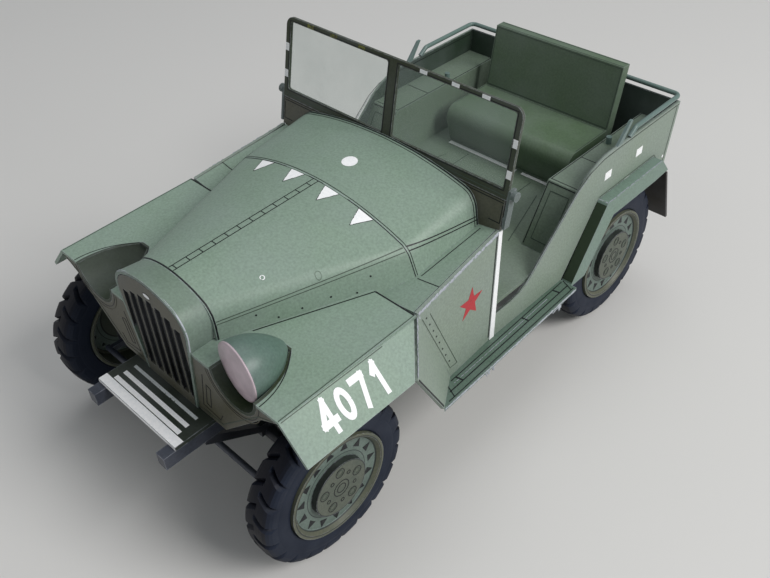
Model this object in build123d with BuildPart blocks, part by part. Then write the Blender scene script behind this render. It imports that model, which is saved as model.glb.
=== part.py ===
from build123d import *
from math import atan, cos, pi, radians, sin, sqrt, tan
import os

os.makedirs("parts", exist_ok=True)

# A card model, at 1:25, of an open four-wheel-drive army scout car, as it stands:
# one headlamp is missing, and the front right wheel sits further out on its axle.
# +X is the car's left side, -Y its front, +Z up; the ground is at Z = 0.
# Pieces are drawn about the car's own middle plane, then moved into the frame when they are kept.

# ---------------------------------------------------------------- card and clearances
CARD = 0.6                # one laminated body panel
BOARD = 0.8               # the stiffer floor, platform and running boards
FILM = 0.2                # clear film in the windscreen
GLUE_GAP = 0.05           # left between panels that are glued side by side
SPIN_GAP = 0.6            # between a wheel and what stands still beside it
PIN_GAP = 0.05            # radial play of a wheel on its pin

# ---------------------------------------------------------------- wheels and stance
WHEELBASE = 84.0
FRONT_OVERHANG = 20.9
REAR_OVERHANG = 20.4
TYRE_RADIUS = 16.2
TYRE_WIDTH = 6.2
TYRE_SHOULDER = 1.5       # width of the sloped edge of the tread
SHOULDER_DROP = 1.2
RIM_RADIUS = 10.6
RIM_WALL = 0.7
RIM_LIP = 0.3             # how far the rim stands out of the tyre
DISC_RADIUS = 9.2
DISC_THICKNESS = 0.8
DISC_INSET = 0.9          # disc face behind the rim's edge
VENT_RING_RADIUS = 8.1
VENT_RADIUS = 0.65
VENT_COUNT = 15
HUB_PLATE_RADIUS = 5.8
HUB_PLATE_THICKNESS = 1.2
HUB_RADIUS = 2.4
PIN_RADIUS = 0.9
BORE_SIDES = 36           # flats inside a rolled tyre, each touching the rim
LUG_COUNT = 20
LUG_HEIGHT = 1.1
GROOVE_WIDTH = 1.5        # round the tyre, between two lugs at their tops

# ---------------------------------------------------------------- heights
RAIL_TOP = 27.8
RAIL_HEIGHT = 2.7
SILL_LEVEL = 20.9         # top of the running boards
WING_FRONT_LEVEL = 42.7
WING_REAR_LEVEL = 43.5
FLAP_EDGE_LEVEL = 36.9
TUB_TOP = 45.6
DECK_REAR_LEVEL = 46.4
DECK_INNER_LEVEL = 43.6   # where the deck meets the bonnet's rear corner
FRAME_FOOT_LEVEL = 52.2   # where the windscreen frame stands on the dash panel
SCREEN_TOP = 68.2
FLOOR_TOP = RAIL_TOP + BOARD

# ---------------------------------------------------------------- widths, from the car's middle
TUB_HALF = 28.6
WING_OUT = 1.6            # the wing's fold, out of the tub side
FLAP_REACH = 5.6          # the hanging flap's edge, out of the fold
CORNER_OUT = 1.5          # the cowl side's front corner, out of the tub side
FOOT_OUT = 0.8            # the cowl side's front foot, out of the tub side
SPLASH_REACH = 4.4        # the splash panel, out of that foot
BOARD_REAR_OUT = 3.9
REAR_WING_OUT = 2.4
DECK_WIDTH = 4.4          # between the bonnet's rear corner and the tub side
SCREEN_OUT = 0.25
WHEEL_INSET = 5.7         # a tyre's inner face, in from the tub side
BOX_PLAY = 1.5            # between a tyre's inner face and the wheel box's inner wall
FRONT_RIGHT_OUT = 9.0     # how much further out the front right wheel sits on its axle
TYRE_INNER_FACE = TUB_HALF - WHEEL_INSET
WING_FOLD_HALF = TUB_HALF + WING_OUT
FLAP_EDGE_HALF = WING_FOLD_HALF + FLAP_REACH
COWL_CORNER_HALF = TUB_HALF + CORNER_OUT
SIDE_FOOT_HALF = TUB_HALF + FOOT_OUT
BOARD_FRONT_HALF = SIDE_FOOT_HALF + SPLASH_REACH
BOARD_REAR_HALF = TUB_HALF + BOARD_REAR_OUT
REAR_WING_HALF = TUB_HALF + REAR_WING_OUT
COWL_HALF = TUB_HALF - DECK_WIDTH
BOX_INNER_HALF = TYRE_INNER_FACE - BOX_PLAY - CARD
SCREEN_HALF = TUB_HALF + SCREEN_OUT
HUB_FACE = TYRE_INNER_FACE + TYRE_WIDTH + RIM_LIP - DISC_INSET + HUB_PLATE_THICKNESS
# The frame's origin is in the middle of the car's box, which reaches further on the right.
MIDDLE_PLANE = (HUB_FACE + FRONT_RIGHT_OUT - FLAP_EDGE_HALF) / 2

# ---------------------------------------------------------------- stations along the car
FRONT_END = -(FRONT_OVERHANG + WHEELBASE + REAR_OVERHANG) / 2
AXLE_F = FRONT_END + FRONT_OVERHANG
AXLE_R = AXLE_F + WHEELBASE
REAR_END = AXLE_R + REAR_OVERHANG
PLATFORM_FRONT = AXLE_F - 18.5
SHELL_FRONT = AXLE_F - 10.8
WING_FRONT = AXLE_F - 10.5
SHELL_REAR = AXLE_F - 6.0
WING_REAR = AXLE_F + 18.75
WING_SLIT = 0.45
HOOD_REAR = AXLE_F + 26.0
SCREEN_FOOT = AXLE_F + 42.1     # at deck level
SCREEN_LEAN = 11.5              # degrees back from upright
SIDE_REAR_FOOT = AXLE_F + 41.1  # foot of the cowl side's rear edge
TUB_REAR_IN = 0.3               # the tub's top edge, ahead of the mud flaps' tips
TUB_REAR_TOP = REAR_END - TUB_REAR_IN
TUB_REAR_LEAN = 0.14            # how far the rear panel runs in for each mm down


def mirror_pair(builder, node):
    """Write a left piece and its mirror image on the right."""
    with BuildPart() as twin:
        mirror(builder.part, about=Plane.YZ)
    keep(builder, node + "_left")
    keep(twin, node + "_right")


def keep(builder, node):
    """Put one finished piece in the frame, label it and write it."""
    finished = builder.part.moved(Location((MIDDLE_PLANE, 0, 0)))
    finished.label = node
    export_step(finished, "parts/" + node + ".step")


def upright(station):
    """Cross-section plane of the car: local x is X and local y is Z."""
    return Plane(origin=(0, station, 0), x_dir=(1, 0, 0), z_dir=(0, -1, 0))


def side_plane(half):
    """Plane along the car: local x is Y and local y is Z, facing the left."""
    return Plane(origin=(half, 0, 0), x_dir=(0, 1, 0), z_dir=(1, 0, 0))


def card_panel(corners, thickness):
    """Flat card cut to corners in space; the thickness grows away from the normal."""
    first, second, third = (Vector(*corner) for corner in corners[:3])
    across = (second - first).normalized()
    outward = across.cross(third - first).normalized()
    face_plane = Plane(origin=first, x_dir=across, z_dir=outward)
    flat = [face_plane.to_local_coords(Vector(*corner)) for corner in corners]
    with BuildPart() as panel:
        with BuildSketch(face_plane):
            with BuildLine():
                Polyline(*[(point.X, point.Y) for point in flat], close=True)
            make_face()
        extrude(amount=-thickness)
    return panel.part


def level_on(corners, x, y):
    """Height at x, y of the plane through three corners."""
    first, second, third = (Vector(*corner) for corner in corners)
    normal = (second - first).cross(third - first)
    return first.Z - (normal.X * (x - first.X) + normal.Y * (y - first.Y)) / normal.Z


def arch_sketch(station, inset):
    """One arched section: plane, foot half, foot, shoulder half, shoulder, top, corner."""
    plane, foot_half, foot, shoulder_half, shoulder, top, corner = station
    with BuildSketch(plane, mode=Mode.PRIVATE) as arch:
        with BuildLine():
            shoulder_left = (-(shoulder_half - inset), shoulder - inset)
            shoulder_right = (shoulder_half - inset, shoulder - inset)
            foot_right = (foot_half - inset, foot - inset)
            foot_left = (-(foot_half - inset), foot - inset)
            Polyline(shoulder_right, foot_right, foot_left, shoulder_left)
            ThreePointArc(shoulder_left, (0, top - inset), shoulder_right)
        make_face()
        fillet(arch.vertices().group_by(Axis.Y)[-1], radius=corner - inset)
    return arch.sketch


def arch_solid(stations, inset=0.0):
    """Ruled body through two arched sections."""
    with BuildPart() as body:
        for station in stations:
            add(arch_sketch(station, inset))
        loft(ruled=True)
    return body.part


# ---------------------------------------------------------------- bonnet line
screen_tilt = radians(SCREEN_LEAN)
screen_ground = SCREEN_FOOT - DECK_REAR_LEVEL * tan(screen_tilt)
SCREEN_PLANE = Plane(
    origin=(0, screen_ground, 0),
    x_dir=(1, 0, 0),
    z_dir=(0, -cos(screen_tilt), sin(screen_tilt)),
)
ALONG_SCREEN = 1 / cos(screen_tilt)
SHELL_FOOT_HALF = 7.3
SHELL_HALF = 10.2
HOOD_FOOT = WING_FRONT_LEVEL - CARD
SHOULDER_FRONT = 49.1
SHOULDER_FALL = 0.6       # of the shoulder, along the radiator shell
SHELL_TOP = 52.35
HOOD_TOP_FRONT = 51.75
HOOD_TOP_REAR = 52.75
SHELL_ROUND = 5.0
HOOD_ROUND_FRONT = 4.6
HOOD_ROUND_REAR = 3.6
SCREEN_ROUND = 4.6
COWL_SHOULDER_IN = 2.4    # the cowl's shoulder, in from its foot
COWL_SHOULDER_DROP = 4.45  # the same shoulder, below the top
SCREEN_FOOT_GAIN = 0.9    # how far the cowl widens and rises from the bonnet to the windscreen
SCREEN_SHOULDER_GAIN = 0.6
SCREEN_SHOULDER_RISE = 2.8
SCREEN_TOP_RISE = 1.05
cowl_shoulder_half = COWL_HALF - COWL_SHOULDER_IN
cowl_shoulder = HOOD_TOP_REAR - COWL_SHOULDER_DROP

#                plane, foot half, foot, shoulder half, shoulder, top, corner radius
shell_stations = [
    (upright(SHELL_FRONT), SHELL_FOOT_HALF, FLOOR_TOP, SHELL_HALF, SHOULDER_FRONT, SHELL_TOP, SHELL_ROUND),
    (
        upright(SHELL_REAR),
        SHELL_FOOT_HALF,
        FLOOR_TOP,
        SHELL_HALF,
        SHOULDER_FRONT - SHOULDER_FALL,
        HOOD_TOP_FRONT,
        HOOD_ROUND_FRONT,
    ),
]
hood_rear_station = (
    upright(HOOD_REAR),
    COWL_HALF,
    HOOD_FOOT,
    cowl_shoulder_half,
    cowl_shoulder,
    HOOD_TOP_REAR,
    HOOD_ROUND_REAR,
)
hood_stations = [
    (
        upright(SHELL_REAR),
        SHELL_HALF,
        HOOD_FOOT,
        SHELL_HALF,
        SHOULDER_FRONT - SHOULDER_FALL,
        HOOD_TOP_FRONT,
        HOOD_ROUND_FRONT,
    ),
    hood_rear_station,
]
cowl_stations = [
    hood_rear_station,
    (
        SCREEN_PLANE,
        COWL_HALF + SCREEN_FOOT_GAIN,
        HOOD_FOOT * ALONG_SCREEN,
        cowl_shoulder_half + SCREEN_SHOULDER_GAIN,
        (cowl_shoulder + SCREEN_SHOULDER_RISE) * ALONG_SCREEN,
        (HOOD_TOP_REAR + SCREEN_TOP_RISE) * ALONG_SCREEN,
        SCREEN_ROUND,
    ),
]
shell_full = arch_solid(shell_stations)
hood_full = arch_solid(hood_stations)
cowl_full = arch_solid(cowl_stations)
cowl_hollow = arch_solid(cowl_stations, CARD)

with BuildPart() as radiator_shell:
    add(shell_full)
    add(arch_solid(shell_stations, CARD), mode=Mode.SUBTRACT)
keep(radiator_shell, "radiator_shell")

with BuildPart() as bonnet:
    add(hood_full)
    add(arch_solid(hood_stations, CARD), mode=Mode.SUBTRACT)
keep(bonnet, "bonnet")

with BuildPart() as cowl_top:
    add(cowl_full)
    add(cowl_hollow, mode=Mode.SUBTRACT)
keep(cowl_top, "cowl_top")

# ---------------------------------------------------------------- grille and radiator
SLOT_COUNT = 7
SLOT_PITCH = 2.4
SLOT_WIDTH = 1.55
SLOT_FOOT = 31.0
SLOT_TOP = 48.3
SLOT_DROP = 0.035         # slot tops fall by this times the square of their distance out
CORE_DEPTH = 1.6

grille_inset = CARD + 2 * GLUE_GAP
grille_stations = [
    (
        upright(y),
        SHELL_FOOT_HALF,
        FLOOR_TOP + grille_inset,
        SHELL_HALF,
        SHOULDER_FRONT,
        SHELL_TOP,
        SHELL_ROUND,
    )
    for y in (SHELL_FRONT, SHELL_FRONT + CARD)
]
slot_xs = [(slot - (SLOT_COUNT - 1) / 2) * SLOT_PITCH for slot in range(SLOT_COUNT)]
with BuildPart() as grille:
    add(arch_solid(grille_stations, grille_inset))
    with BuildSketch(upright(SHELL_FRONT)):
        for slot_x in slot_xs:
            slot_head = SLOT_TOP - SLOT_DROP * slot_x**2
            with Locations((slot_x, (slot_head + SLOT_FOOT) / 2)):
                Rectangle(SLOT_WIDTH, slot_head - SLOT_FOOT)
    extrude(amount=-CARD, mode=Mode.SUBTRACT)
keep(grille, "grille")

with BuildPart() as radiator_core:
    with BuildSketch(upright(SHELL_FRONT + CARD + CORE_DEPTH)):
        with Locations((0, (FLOOR_TOP + SLOT_TOP) / 2)):
            Rectangle(2 * (SHELL_FOOT_HALF - CARD - GLUE_GAP), SLOT_TOP - FLOOR_TOP)
    extrude(amount=-CARD)
keep(radiator_core, "radiator_core")

# ---------------------------------------------------------------- headlamp and its pockets
POCKET_X = 19.4
POCKET_LEVEL = 43.0
POCKET_RADIUS = 5.7
POCKET_LENGTH = 11.2
LAMP_X = 18.9
LAMP_Y = AXLE_F - 8.6
LAMP_LEVEL = 44.0
LAMP_RADIUS = 5.2
LAMP_LENGTH = 8.4
LENS_THICKNESS = 0.4
LAMP_TOE_IN = 7.0         # degrees
LAMP_TIP = 1.0            # radius of the flat tip
ARC_ALONG = 0.62          # where a bullet's arc passes, as shares of its length and radius
ARC_OUT = 0.74


def bullet(base_plane, radius, length, wall=None):
    """Blunt bullet on a plane, an arc turned about the plane's normal; hollow if it has a wall."""
    with BuildPart() as shape:
        with BuildSketch(Plane(origin=base_plane.origin, x_dir=base_plane.z_dir, z_dir=base_plane.y_dir)):
            with BuildLine():
                ThreePointArc((0, radius), (ARC_ALONG * length, ARC_OUT * radius), (length, LAMP_TIP))
                if wall is None:
                    Polyline((length, LAMP_TIP), (length, 0), (0, 0), (0, radius))
                else:
                    bore = radius - wall
                    depth = length - wall
                    Polyline((length, LAMP_TIP), (length, 0), (depth, 0), (depth, LAMP_TIP))
                    ThreePointArc((depth, LAMP_TIP), (ARC_ALONG * depth, ARC_OUT * bore), (0, bore))
                    Line((0, bore), (0, radius))
            make_face()
        revolve(axis=Axis(base_plane.origin, base_plane.z_dir))
    return shape.part


pocket_plane = Plane(origin=(POCKET_X, WING_FRONT, POCKET_LEVEL), x_dir=(1, 0, 0), z_dir=(0, 1, 0))
lamp_turn = radians(LAMP_TOE_IN)
lamp_plane = Plane(
    origin=(LAMP_X, LAMP_Y, LAMP_LEVEL),
    x_dir=(cos(lamp_turn), -sin(lamp_turn), 0),
    z_dir=(sin(lamp_turn), cos(lamp_turn), 0),
)
pocket_full = bullet(pocket_plane, POCKET_RADIUS, POCKET_LENGTH)
pocket_wall = bullet(pocket_plane, POCKET_RADIUS, POCKET_LENGTH, CARD)
lamp_full = bullet(lamp_plane, LAMP_RADIUS, LAMP_LENGTH)

wing_slope = atan((WING_REAR_LEVEL - WING_FRONT_LEVEL) / (WING_REAR - WING_FRONT))
WING_PLANE = Plane(
    origin=(0, WING_FRONT, WING_FRONT_LEVEL),
    x_dir=(1, 0, 0),
    z_dir=(0, -sin(wing_slope), cos(wing_slope)),
)

with BuildPart() as pocket_right:
    add(pocket_wall)
    split(bisect_by=WING_PLANE, keep=Keep.BOTTOM)
    mirror(about=Plane.YZ, mode=Mode.REPLACE)
keep(pocket_right, "lamp_pocket_right")

with BuildPart() as pocket_left:
    add(pocket_wall)
    split(bisect_by=WING_PLANE, keep=Keep.BOTTOM)
    add(lamp_full, mode=Mode.SUBTRACT)
keep(pocket_left, "lamp_pocket_left")

with BuildPart() as headlamp_shell:
    add(bullet(lamp_plane, LAMP_RADIUS, LAMP_LENGTH, CARD))
keep(headlamp_shell, "headlamp_shell")

with BuildPart() as headlamp_lens:
    with BuildSketch(lamp_plane):
        Circle(LAMP_RADIUS - CARD - GLUE_GAP)
    extrude(amount=LENS_THICKNESS)
keep(headlamp_lens, "headlamp_lens")

# ---------------------------------------------------------------- front wings and aprons
APRON_FOOT_HALF = 14.6
APRON_KNEE = (26.0, 40.1)
SPLASH_RUN = 6.7          # the splash panel, along the car

cowl_corner = (COWL_CORNER_HALF, WING_REAR + WING_SLIT, WING_REAR_LEVEL)
side_top_rear = (TUB_HALF, SCREEN_FOOT, DECK_REAR_LEVEL)
side_foot_rear = (TUB_HALF, SIDE_REAR_FOOT, SILL_LEVEL)
BOARD_FRONT = AXLE_F + 21.9
SIDE_FOOT_FRONT = BOARD_FRONT + SPLASH_RUN
side_foot_front = (SIDE_FOOT_HALF, SIDE_FOOT_FRONT, SILL_LEVEL)
board_corner = (BOARD_FRONT_HALF, BOARD_FRONT, SILL_LEVEL)
splash_normal = (Vector(*side_foot_front) - Vector(*cowl_corner)).cross(
    Vector(*board_corner) - Vector(*cowl_corner)
)
splash_drop = splash_normal.X * (FLAP_EDGE_HALF - COWL_CORNER_HALF) + splash_normal.Z * (
    FLAP_EDGE_LEVEL - WING_REAR_LEVEL
)
flap_tip = (FLAP_EDGE_HALF, cowl_corner[1] - splash_drop / splash_normal.Y, FLAP_EDGE_LEVEL)


def wing_blank():
    """Left front wing before its lamp pocket is cut: top sheet and hanging flap."""
    run = sqrt((WING_REAR - WING_FRONT) ** 2 + (WING_REAR_LEVEL - WING_FRONT_LEVEL) ** 2)
    flap_corners = [
        (WING_FOLD_HALF, WING_FRONT, WING_FRONT_LEVEL),
        (FLAP_EDGE_HALF, WING_FRONT, FLAP_EDGE_LEVEL),
        (FLAP_EDGE_HALF, flap_tip[1] - 1.5 * WING_SLIT, FLAP_EDGE_LEVEL),
        (WING_FOLD_HALF, WING_REAR, WING_REAR_LEVEL),
    ]
    with BuildPart() as wing:
        with BuildSketch(WING_PLANE):
            with Locations((WING_FOLD_HALF / 2, run / 2)):
                Rectangle(WING_FOLD_HALF, run)
        extrude(amount=-CARD)
        add(card_panel(flap_corners, CARD))
        add(shell_full, mode=Mode.SUBTRACT)
        add(hood_full, mode=Mode.SUBTRACT)
        add(pocket_full, mode=Mode.SUBTRACT)
    return wing.part


with BuildPart() as wing_right:
    mirror(wing_blank(), about=Plane.YZ)
keep(wing_right, "front_wing_right")

with BuildPart() as wing_left:
    add(wing_blank())
    add(lamp_full, mode=Mode.SUBTRACT)
keep(wing_left, "front_wing_left")


def apron_blank():
    """Left apron under the wing's front edge, round the lamp pocket."""
    with BuildPart() as apron:
        with BuildSketch(upright(WING_FRONT)):
            with BuildLine():
                Polyline(
                    (SHELL_FOOT_HALF, FLOOR_TOP),
                    (APRON_FOOT_HALF, FLOOR_TOP),
                    APRON_KNEE,
                    (WING_FOLD_HALF - CARD, WING_FRONT_LEVEL - CARD - GLUE_GAP),
                    (SHELL_FOOT_HALF, WING_FRONT_LEVEL - CARD - GLUE_GAP),
                    close=True,
                )
            make_face()
        extrude(amount=-CARD)
        add(shell_full, mode=Mode.SUBTRACT)
        add(pocket_full, mode=Mode.SUBTRACT)
    return apron.part


with BuildPart() as apron_left:
    add(apron_blank())
mirror_pair(apron_left, "front_apron")

# ---------------------------------------------------------------- dash, windscreen
DASH_FOOT = 40.2
SCREEN_CORNER = 1.8
WINDOW_IN = 1.25          # inner edge of a window from the car's middle
FRAME_BAR = 1.25          # side bar of the frame
FOOT_BAR = 1.75           # bottom bar of the frame
HEAD_BAR = 0.9
WINDOW_FOOT = FRAME_FOOT_LEVEL + FOOT_BAR
WINDOW_TOP = SCREEN_TOP - HEAD_BAR
WINDOW_CORNER = 0.5
BRACKET_WIDTH = 1.5
BRACKET_FOOT = 46.9
BRACKET_LUG = 2.0         # height of the lug that meets the dash
KNOB_RADIUS = 0.9
KNOB_LENGTH = 0.9
KNOB_AHEAD = 0.2
WINDOW_OUT = SCREEN_HALF - FRAME_BAR

dash_inner_half = TUB_HALF - CARD - GLUE_GAP
dash_shoulder = (DECK_REAR_LEVEL + GLUE_GAP) * ALONG_SCREEN
with BuildPart() as dash:
    with BuildSketch(SCREEN_PLANE):
        with BuildLine():
            Polyline(
                (dash_inner_half, DASH_FOOT * ALONG_SCREEN),
                (dash_inner_half, dash_shoulder),
                (TUB_HALF, dash_shoulder),
                (TUB_HALF, FRAME_FOOT_LEVEL * ALONG_SCREEN),
                (-TUB_HALF, FRAME_FOOT_LEVEL * ALONG_SCREEN),
                (-TUB_HALF, dash_shoulder),
                (-dash_inner_half, dash_shoulder),
                (-dash_inner_half, DASH_FOOT * ALONG_SCREEN),
                close=True,
            )
        make_face()
    extrude(amount=-CARD)
keep(dash, "dash")

window_height = (WINDOW_TOP - WINDOW_FOOT) * ALONG_SCREEN
window_mid = (WINDOW_TOP + WINDOW_FOOT) / 2 * ALONG_SCREEN
window_places = [side * (WINDOW_IN + WINDOW_OUT) / 2 for side in (-1, 1)]
with BuildPart() as windscreen_frame:
    with BuildSketch(SCREEN_PLANE) as frame_outline:
        with Locations((0, (SCREEN_TOP + FRAME_FOOT_LEVEL) / 2 * ALONG_SCREEN)):
            Rectangle(2 * SCREEN_HALF, (SCREEN_TOP - FRAME_FOOT_LEVEL) * ALONG_SCREEN)
        fillet(frame_outline.vertices().group_by(Axis.Y)[-1], radius=SCREEN_CORNER)
    extrude(amount=-CARD)
    with BuildSketch(SCREEN_PLANE):
        with Locations(*[(x, window_mid) for x in window_places]):
            RectangleRounded(WINDOW_OUT - WINDOW_IN, window_height, WINDOW_CORNER)
    extrude(amount=-CARD, mode=Mode.SUBTRACT)
keep(windscreen_frame, "windscreen_frame")

with BuildPart() as pane:
    with BuildSketch(SCREEN_PLANE.offset(-(CARD - FILM) / 2)):
        with Locations((window_places[1], window_mid)):
            RectangleRounded(WINDOW_OUT - WINDOW_IN, window_height, WINDOW_CORNER)
    extrude(amount=-FILM)
mirror_pair(pane, "windscreen_pane")

with BuildPart() as screen_bracket:
    with BuildSketch(side_plane(SCREEN_HALF)):
        with BuildLine():
            foot_y = SCREEN_FOOT + (BRACKET_FOOT - DECK_REAR_LEVEL) * tan(screen_tilt)
            head_level = FRAME_FOOT_LEVEL + 2 * KNOB_RADIUS
            head_y = SCREEN_FOOT + (head_level - DECK_REAR_LEVEL) * tan(screen_tilt)
            Polyline(
                (foot_y, BRACKET_FOOT),
                (foot_y + BRACKET_WIDTH, BRACKET_FOOT),
                (head_y + BRACKET_WIDTH, head_level),
                (head_y, head_level),
                close=True,
            )
        make_face()
    extrude(amount=CARD)
    with BuildSketch(side_plane(SCREEN_HALF + CARD)):
        with Locations((head_y + BRACKET_WIDTH / 2 - KNOB_AHEAD, head_level - KNOB_RADIUS)):
            Circle(KNOB_RADIUS)
    extrude(amount=KNOB_LENGTH)
    with BuildSketch(side_plane(TUB_HALF)):
        with Locations((foot_y + BRACKET_WIDTH / 2, BRACKET_FOOT + BRACKET_LUG / 2)):
            Rectangle(CARD, BRACKET_LUG)
    extrude(amount=SCREEN_HALF - TUB_HALF)
mirror_pair(screen_bracket, "screen_bracket")

# ---------------------------------------------------------------- cowl deck and sides
deck_plane_corners = (cowl_corner, side_top_rear, (COWL_HALF, HOOD_REAR, DECK_INNER_LEVEL))
hood_half_at_slit = SHELL_HALF + (COWL_HALF - SHELL_HALF) * (WING_REAR - SHELL_REAR) / (
    HOOD_REAR - SHELL_REAR
)


def deck_corner(x, y):
    """A point of the deck, on its plane."""
    return (x, y, level_on(deck_plane_corners, x, y))


with BuildPart() as deck_left:
    add(
        card_panel(
            [
                deck_corner(COWL_CORNER_HALF - CARD - 4 * GLUE_GAP, WING_REAR + WING_SLIT),
                deck_corner(TUB_HALF - CARD - 4 * GLUE_GAP, SCREEN_FOOT),
                deck_corner(COWL_HALF - CARD, SCREEN_FOOT),
                deck_corner(COWL_HALF - CARD, HOOD_REAR),
                deck_corner(hood_half_at_slit - CARD, WING_REAR + WING_SLIT),
            ],
            CARD,
        )
    )
    add(hood_full, mode=Mode.SUBTRACT)
    add(cowl_full, mode=Mode.SUBTRACT)
    add(dash.part, mode=Mode.SUBTRACT)
mirror_pair(deck_left, "cowl_deck")


def behind_fold(corner):
    """A corner of the splash panel carried on into the cowl side's thickness."""
    inward = (Vector(*side_foot_front) - Vector(*board_corner)).normalized() * (CARD - GLUE_GAP)
    return tuple(Vector(*corner) + inward)


with BuildPart() as cowl_side:
    add(card_panel([side_foot_rear, side_top_rear, cowl_corner, side_foot_front], CARD))
    add(card_panel([behind_fold(side_foot_front), behind_fold(cowl_corner), flap_tip, board_corner], CARD))
    with BuildSketch(Plane.XY.offset(SILL_LEVEL)):
        with Locations((TUB_HALF, AXLE_F)):
            Rectangle(TUB_HALF, 2 * WHEELBASE)
    extrude(amount=-BOARD, mode=Mode.SUBTRACT)
mirror_pair(cowl_side, "cowl_side")

# ---------------------------------------------------------------- tub
DOOR_SILL = 26.3
DOOR_SILL_RUN = 9.7       # its flat part, behind the cowl side
DOOR_RISE_RUN = 21.2      # its slope up to the tub's top
DOOR_SILL_END = SIDE_REAR_FOOT + DOOR_SILL_RUN
DOOR_TOP_END = DOOR_SILL_END + DOOR_RISE_RUN
DOOR_SILL_ROUND = 9.0
DOOR_TOP_ROUND = 16.0
WING_FOOT_Y = AXLE_R - 19.3
WING_RISE_Y = AXLE_R - 8.9
WING_DROP_Y = AXLE_R + 12.3
WING_TAIL_Y = AXLE_R + 15.7
REAR_WING_TOP = 35.5
REAR_WING_TAIL = 31.6
FLAP_TIP_LEVEL = 16.4
BOX_TOP = 40.5
BOX_FOOT_Y = AXLE_R - 23.4
BOX_RISE_Y = AXLE_R - 15.8


def rear_face_y(level):
    """Outer face of the tub's rear panel at a height."""
    return TUB_REAR_TOP - TUB_REAR_LEAN * (TUB_TOP - level)


with BuildPart() as tub_side:
    with BuildSketch(side_plane(TUB_HALF)):
        with BuildLine():
            FilletPolyline(
                (SIDE_REAR_FOOT + 6 * GLUE_GAP, DOOR_SILL),
                (DOOR_SILL_END, DOOR_SILL),
                (DOOR_TOP_END, TUB_TOP),
                (TUB_REAR_TOP, TUB_TOP),
                radius=(DOOR_SILL_ROUND, DOOR_TOP_ROUND),
            )
            Polyline(
                (TUB_REAR_TOP, TUB_TOP),
                (rear_face_y(RAIL_TOP), RAIL_TOP),
                (WING_TAIL_Y + 1, RAIL_TOP),
                (WING_TAIL_Y, REAR_WING_TAIL),
                (WING_DROP_Y, REAR_WING_TOP),
                (WING_RISE_Y, REAR_WING_TOP),
                (WING_FOOT_Y, SILL_LEVEL),
                (SIDE_REAR_FOOT + 6 * GLUE_GAP, SILL_LEVEL),
                (SIDE_REAR_FOOT + 6 * GLUE_GAP, DOOR_SILL),
            )
        make_face()
    extrude(amount=-CARD)
mirror_pair(tub_side, "tub_side")

inner_half = TUB_HALF - CARD - GLUE_GAP
with BuildPart() as tub_rear:
    add(
        card_panel(
            [
                (inner_half, rear_face_y(RAIL_TOP), RAIL_TOP),
                (-inner_half, rear_face_y(RAIL_TOP), RAIL_TOP),
                (-inner_half, rear_face_y(TUB_TOP), TUB_TOP),
                (inner_half, rear_face_y(TUB_TOP), TUB_TOP),
            ],
            CARD,
        )
    )
keep(tub_rear, "tub_rear")

FLOOR_FRONT = HOOD_REAR + 1.5
floor_rear = rear_face_y(RAIL_TOP) - CARD - 2 * GLUE_GAP
with BuildPart() as floor:
    with BuildSketch(Plane.XY.offset(RAIL_TOP)):
        with BuildLine():
            Polyline(
                (inner_half, FLOOR_FRONT),
                (inner_half, BOX_FOOT_Y),
                (BOX_INNER_HALF + CARD, BOX_FOOT_Y),
                (BOX_INNER_HALF + CARD, floor_rear),
                (-BOX_INNER_HALF - CARD, floor_rear),
                (-BOX_INNER_HALF - CARD, BOX_FOOT_Y),
                (-inner_half, BOX_FOOT_Y),
                (-inner_half, FLOOR_FRONT),
                close=True,
            )
        make_face()
    extrude(amount=BOARD)
keep(floor, "floor")

with BuildPart() as bulkhead:
    with BuildSketch(upright(FLOOR_FRONT)):
        with Locations((0, (FLOOR_TOP + HOOD_FOOT) / 2)):
            Rectangle(2 * COWL_HALF, HOOD_FOOT - FLOOR_TOP)
    extrude(amount=-CARD)
    with BuildSketch(upright(FLOOR_FRONT)):
        with Locations((0, HOOD_TOP_REAR / 2 + HOOD_FOOT / 2)):
            Rectangle(2 * (COWL_HALF - CARD), HOOD_TOP_REAR - HOOD_FOOT)
    extrude(amount=-CARD)
with BuildPart() as bulkhead_cut:
    add(cowl_full)
    add(cowl_hollow, mode=Mode.SUBTRACT)
with BuildPart() as bulkhead_trim:
    add(bulkhead.part)
    add(bulkhead_cut.part, mode=Mode.SUBTRACT)
    biggest = bulkhead_trim.solids().sort_by(SortBy.VOLUME)[-1]
    add(biggest, mode=Mode.REPLACE)
keep(bulkhead_trim, "bulkhead")

with BuildPart() as wheel_box:
    box_rear_foot = rear_face_y(FLOOR_TOP) - CARD - 3 * GLUE_GAP
    box_rear_top = rear_face_y(BOX_TOP) - CARD - 3 * GLUE_GAP
    with BuildSketch(side_plane(BOX_INNER_HALF)):
        with BuildLine():
            Polyline(
                (BOX_FOOT_Y, FLOOR_TOP),
                (BOX_RISE_Y, BOX_TOP),
                (box_rear_top, BOX_TOP),
                (box_rear_foot, FLOOR_TOP),
                close=True,
            )
        make_face()
    extrude(amount=inner_half - BOX_INNER_HALF)
    with BuildSketch(side_plane(BOX_INNER_HALF + CARD)):
        with BuildLine():
            Polyline(
                (BOX_FOOT_Y + CARD, FLOOR_TOP),
                (BOX_RISE_Y + CARD, BOX_TOP - CARD),
                (box_rear_top + CARD, BOX_TOP - CARD),
                (box_rear_foot + CARD, FLOOR_TOP),
                close=True,
            )
        make_face()
    extrude(amount=inner_half - BOX_INNER_HALF, mode=Mode.SUBTRACT)
mirror_pair(wheel_box, "wheel_box")

# ---------------------------------------------------------------- rear wings and mud flaps
LIP_DEPTH = 4.3
FOOT_SHARE = 1.2          # how far each corner of the wing moves in, for each mm of drop
RISE_SHARE = 0.7
DROP_SHARE = 0.45
TAIL_SHARE = 1.1
TAIL_FALL_SHARE = 0.2


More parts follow.
